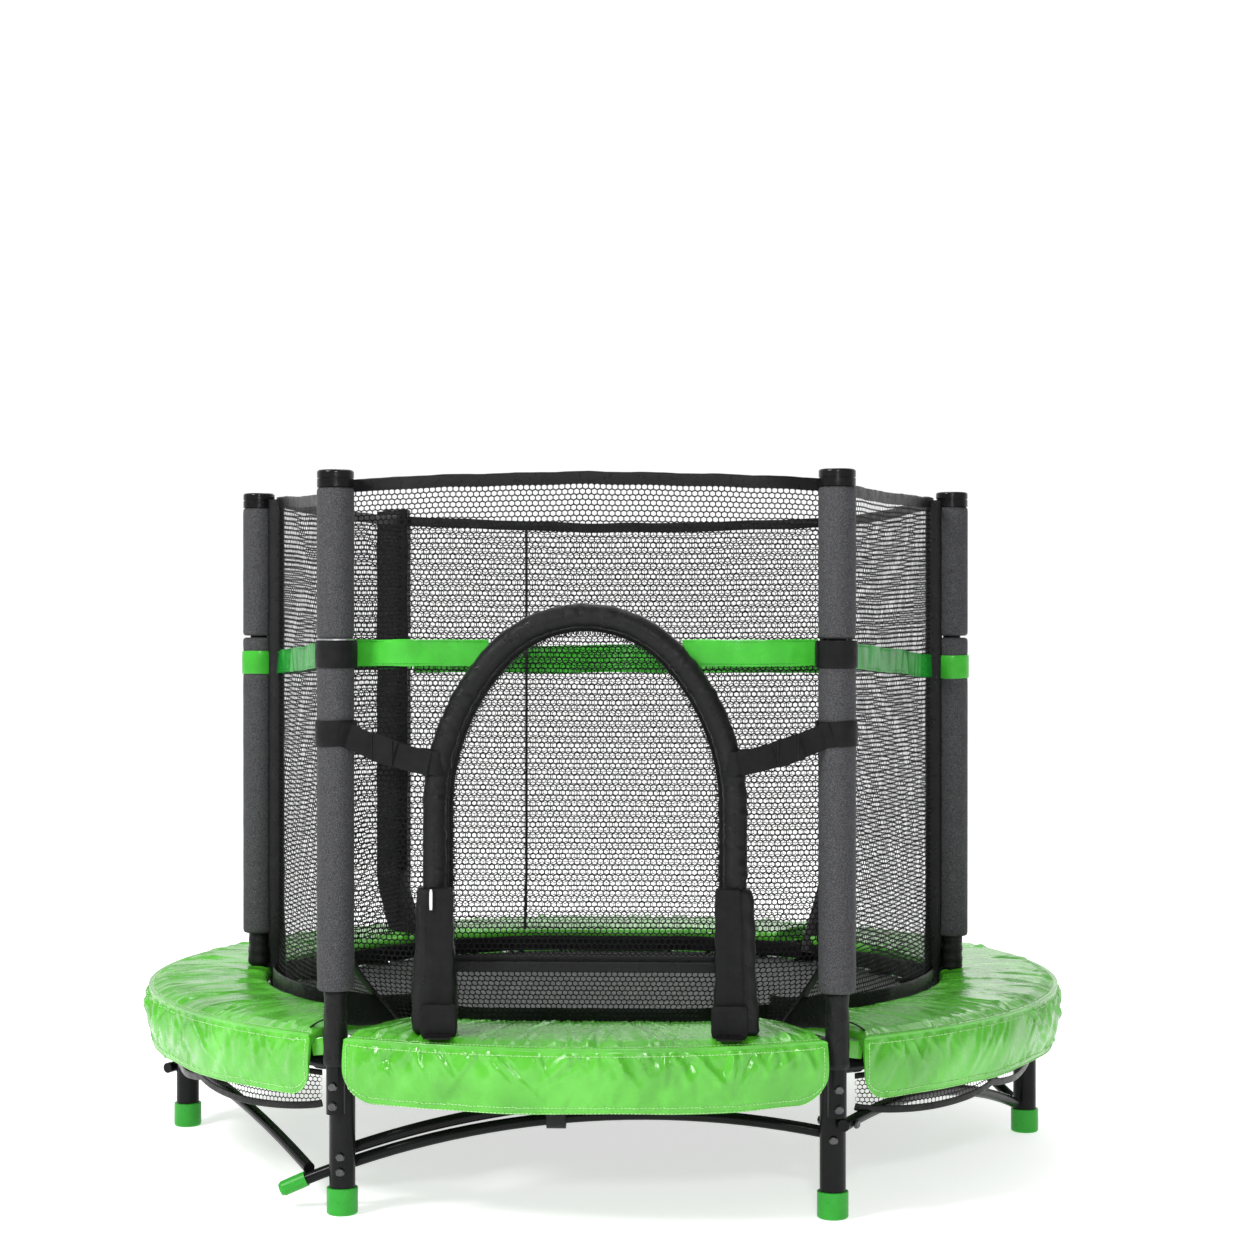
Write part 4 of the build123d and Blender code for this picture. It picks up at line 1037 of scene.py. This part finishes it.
def cuff_rings(side, low, high):
    """A cloth cuff round the foot of the gate, wider at its base, with slack folds."""
    a = turns(56)
    for k, v in enumerate(np.linspace(0, 1, 46)):
        tuck = 3 * MM if k in (0, 45) else 0
        half_x = 30 * MM - 8 * MM * v**1.5 + 1.1 * MM * math.sin(9 * v + side) - tuck
        x, y = squarish(a, half_x, 19.6 * MM - 1.2 * MM * v - tuck, 0.45, 0.45)
        slack = 0.7 * MM * np.sin(v * 34 + 2.0 * np.cos(a))
        fold = 0.9 * MM * wander(a * 0.03 + v * 0.05, 14 + side, 0.03) + slack
        z = low + 2 * MM + v * (high - low - 2 * MM)
        yield around((side * ARCH_HALF_W + x, ARCH_Y + 1.5 * MM + y), fold, a, z)


def flap_box(side, low):
    """The thick stitched block at the foot of a cuff's flap."""
    a = turns(40)
    for k, v in enumerate(np.linspace(0, 1, 12)):
        inset = {0: 2.2, 1: 0.6, 10: 0.6, 11: 2.2}.get(k, 0) * MM
        x, y = squarish(a, 24 * MM - inset, 5.0 * MM - inset * 0.6, 0.3, 0.4)
        centre = side * (ARCH_HALF_W - 8 * MM), ARCH_Y - 26.5 * MM - 1.5 * MM * (1 - v)
        yield np.stack([centre[0] + x, centre[1] + y, 0 * a + low + 1 * MM + v * 41 * MM], -1)


def make_cuffs():
    low, high = bottom("gate_cuffs"), top("gate_cuffs")
    cuffs, flaps = Shape(), Shape()
    for side in (-1, 1):
        cuffs.solid(list(cuff_rings(side, low, high)))
        z = np.linspace(high - 6 * MM, low + 22 * MM, 40)
        u = np.linspace(0, 1, 40)
        x = side * (ARCH_HALF_W - 10 * MM + 3 * MM * u) + 0.8 * MM * wander(z, 30 + side, 0.06)
        y = ARCH_Y - 22.1 * MM - 1.8 * MM * np.sin(math.pi * u)
        flaps.strip(np.stack([x, y, z], -1), 35 * MM, 2.2 * MM, np.array([0.05 * side, -1.0, 0]))
        top_fold = ((14, 0.2), (18, -1.2), (21.8, 0.8), (22.6, 5), (22.8, 12), (22.6, 19))
        fold = [[side * (ARCH_HALF_W - 10 * MM), ARCH_Y - y * MM, high - z * MM] for y, z in top_fold]
        flaps.strip(fold, 32 * MM, 1.8 * MM, np.array([0, -0.8, 0.6]))
        flaps.solid(list(flap_box(side, low)))
        pad_lie = ((25, 3.8), (32, 3.4), (38, 3.2), (44, 3.4), (49, 3.0), (53, 2.2))
        tongue = [[side * (ARCH_HALF_W - 8 * MM), ARCH_Y - y * MM, low + z * MM] for y, z in pad_lie]
        flaps.strip(tongue, 36 * MM, 2.4 * MM, UP)
    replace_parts(cuffs.make("gate_foot_cuffs", BLACK_CLOTH, slot="black_fabric", sharp=55), "gate_cuffs")
    flaps.make("gate_foot_flaps", BLACK_WEB, slot="black_fabric", sharp=50)


def make_zip_pull():
    base = np.array([-ARCH_HALF_W - 2 * MM, ARCH_Y - 24.5 * MM, top("gate_cuffs") - 14 * MM])
    outline = [(-1.6, -13), (1.6, -13), (2.1, -9), (2.1, 10), (1.2, 14), (-1.2, 14), (-2.1, 10), (-2.1, -9)]
    pull = Shape()
    pull.solid([[base + np.array([x * k, y, z * k]) * MM for x, z in outline]
                for y, k in ((0, 0.86), (-0.8, 1.0), (-2.2, 1.0), (-3.0, 0.86))])
    pull.make("zip_pull", WHITE_PLASTIC, slot="black_plastic", sharp=30)


# ---------------------------------------------------------------- feet of the poles, nets under the pads
def make_pole_feet():
    """Cloth round the foot of each pole, the gusset to the net's foot, and the loops that hold the pads."""
    cloth, loops, elastic = Shape(), Shape(), Shape()
    high = bottom("foam_sleeves_lower") + 2 * MM
    a = turns(40)
    for k, n in enumerate(NAMES):
        inboard = n in ("left", "right")
        radius = 16 * MM if inboard else 15.4 * MM
        low = PAD_TOP + 4 * MM if inboard else PAD_TOP - 46 * MM
        rows = []
        for v in np.linspace(0, 1, 26):
            fold = 0.5 * MM * wander(a * 0.02 + v * 0.03, 51 + k, 0.02) + 0.4 * MM * math.sin(21 * v + k)
            r = (radius - (2.2 * MM if v in (0.0, 1.0) else 0) + fold) * (1 + 0.06 * (1 - v))
            rows.append(around(POLES[n], r, a, low + v * (high - low)))
        cloth.solid(rows)
        way = POLE_WAY[n]
        side = np.array([-way[1], way[0], 0])
        turn = math.radians(POLE_DEG[n] + FOOT_TURN.get(n, 0))
        foot = np.array([math.cos(turn), math.sin(turn)]) * (PAD_INNER_R - 6 * MM)
        start = POLES[n] - way * 12 * MM
        u = np.linspace(0, 1, 26)
        line = start + (foot - start) * u[:, None]
        z = PAD_TOP + 30 * MM - 20 * MM * u - 5 * MM * np.sin(math.pi * u)
        width = 46 * MM - 10 * MM * u + 2 * MM * wander(u, 61 + k, 0.3)
        cloth.tube(np.column_stack([line, z]), np.stack([flat_section(w, 2.4 * MM) for w in width]), side)
        if n.startswith("front"):
            away = side * np.sign(POLES[n][0])
            lie = ((0.672, 12), (0.678, 20), (0.682, 30), (0.684, 40))
            out = np.array([*way, 0])
            loop = [
                out * r + away * x * MM + UP * (PAD_TOP - 21 * MM - 1.5 * MM * j) for j, (r, x) in enumerate(lie)
            ]
            loops.strip(loop, 23 * MM, 2.2 * MM, out)
            u = np.linspace(0, 1, 22)[:, None]
            rise = PAD_TOP + 5 * MM + 9 * MM * np.sin(math.pi * (0.15 + 0.8 * u)) - 6 * MM * u
            arc = out * (0.668 + 0.012 * u) + away * (10 * MM + 36 * MM * u) + UP * rise
            elastic.strip(arc, 9 * MM, 2.2 * MM, UP, 12)
    cloth.make("pole_foot_sleeves", BLACK_CLOTH, slot="black_fabric", sharp=50)
    loops.make("pad_loops", GREEN_VINYL, slot="green_vinyl", sharp=50)
    elastic.make("pad_elastics", BLACK_WEB, slot="black_webbing", sharp=50)


RING_TUBE_R = 15.5 * MM
SKIRT_NET_LOW = 0.124  # the lowest point of the scalloped edge
SCALLOP_TOP = 0.136


def make_skirt_nets():
    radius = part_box("frame_tube_right")[1].x - RING_TUBE_R
    high = top("skirt_nets")
    height = high - SKIRT_NET_LOW
    hem = Shape()
    pairs = (("left", "front_left"), ("front_right", "right"), ("right", "back_right"), ("back_left", "left"))
    for k, (first, last) in enumerate(pairs):
        start, end = leg_degrees(first), leg_degrees(last)
        end += 360 if end < start else 0
        start, end = math.radians(start + 3.1), math.radians(end - 3.1)
        length = (end - start) * radius

        def low_at(s):
            """Height of the scalloped lower edge."""
            share = math.pi * np.clip(s / length, 0, 1)
            return SCALLOP_TOP - 0.012 * np.abs(np.sin(2 * share)) ** 0.7 + 0.006 * (1 - np.sin(share))

        def place(s, z):
            return around((0, 0), radius + 1.5 * MM * wander(s, 41 + k, 0.12), start + s / radius, z)

        flat, faces = hex_sheet(length, height, None, 8.2 * MM)
        low = low_at(flat[:, 0])
        shape = Shape()
        shape.add(place(flat[:, 0], low + flat[:, 1] / height * (high - low)), faces.tolist())
        net = shape.make(f"skirt_net_{first}_{last}", NET_CORD, slot="skirt_mesh", sharp=0, closed=False)
        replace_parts(net, "skirt_nets")
        max(net_area(flat, faces), 0.302 * length * height)
        s = np.linspace(0, length, 120)
        for z, wide in ((low_at(s) + 2 * MM, 10 * MM), (high - 3 * MM, 8 * MM)):
            line = place(s, z)
            hem.strip(line, wide, 2.4 * MM, level_out(line), 12)
    hem.make("skirt_net_hems", BLACK_CLOTH, slot="skirt_mesh", sharp=50)


# ---------------------------------------------------------------- floor, light and camera
AIM = Vector((0, 0, 0.35))
LIGHTS = (  # name, place, size, power
    ("key", (-2.6, -2.6, 3.2), 1.0, 125),
    ("strip", (0.4, -4.2, 1.9), 0.35, 46),
    ("top", (0.2, 0.8, 4.0), 1.6, 50),
    ("back", (0.8, 4.2, 2.6), 2.0, 15),
)
CAMERA_AWAY, CAMERA_ASIDE, CAMERA_HIGH = 3.85, 0.02, 0.794
CAMERA_LENS, CAMERA_YAW, CAMERA_DIP = 70.9, math.radians(2.0), 0.11


def show(name, data):
    made = bpy.data.objects.new(name, data)
    bpy.context.scene.collection.objects.link(made)
    return made


def set_floor():
    mesh = bpy.data.meshes.new("floor")
    mesh.from_pydata([(x * 12, y * 12, 0) for x in (-1, 1) for y in (-1, 1)], [], [(0, 2, 3, 1)])
    mesh.materials.append(Paint("pale_floor", (0.8, 0.8, 0.8), 0.8, Specular_IOR_Level=0.1,
                                Emission_Color=(1, 1, 1, 1), Emission_Strength=0.62).material)
    floor = show("floor", mesh)


def set_world():
    """White behind the trampoline as seen from its gate, and dimmer on the other sides."""
    world = bpy.data.worlds.new("studio")
    world.use_nodes = True
    tree = world.node_tree
    background = tree.nodes["Background"].inputs
    background["Color"].default_value = (1, 1, 1, 1)
    way, split, fade = (tree.nodes.new("ShaderNode" + k) for k in ("TexCoord", "SeparateXYZ", "MapRange"))
    for key, number in (("From Min", 0.0), ("From Max", 0.7), ("To Min", 0.36), ("To Max", 1.03)):
        fade.inputs[key].default_value = number
    tree.links.new(way.outputs["Generated"], split.inputs["Vector"])
    tree.links.new(split.outputs["Y"], fade.inputs["Value"])
    tree.links.new(fade.outputs["Result"], background["Strength"])
    bpy.context.scene.world = world


def set_lights():
    for name, place, size, power in LIGHTS:
        light = bpy.data.lights.new(name, "AREA")
        light.size, light.energy = size, power
        made = show(name, light)
        made.location = place
        made.rotation_euler = (AIM - Vector(place)).to_track_quat("-Z", "Y").to_euler()


def set_camera():
    camera = show("camera", bpy.data.cameras.new("camera"))
    camera.data.lens, camera.data.sensor_width = CAMERA_LENS, 36
    camera.data.clip_end = 60
    c, s = math.cos(CAMERA_YAW), math.sin(CAMERA_YAW)
    x, y = CAMERA_AWAY * s + CAMERA_ASIDE * c, -CAMERA_AWAY * c + CAMERA_ASIDE * s
    camera.location = (x, y, CAMERA_HIGH)
    camera.rotation_euler = (math.radians(90 - CAMERA_DIP), 0, CAMERA_YAW)
    bpy.context.scene.camera = camera
    bpy.context.scene.view_settings.view_transform = "Standard"


make_pad("pad_front", "front_left", "front_right", 101)
make_pad("pad_right", "front_right", "back_right", 211)
make_pad("pad_back", "back_right", "back_left", 307)
make_pad("pad_left", "back_left", "front_left", 401)
make_mat()
make_springs()
make_nets()
make_gate_sleeve()
make_doorway()
make_door()
make_zip_teeth()
make_foam()
make_belt()
make_pole_joint_ring()
make_straps()
make_cuffs()
make_zip_pull()
make_pole_feet()
make_skirt_nets()
set_floor()
set_world()
set_lights()
set_camera()
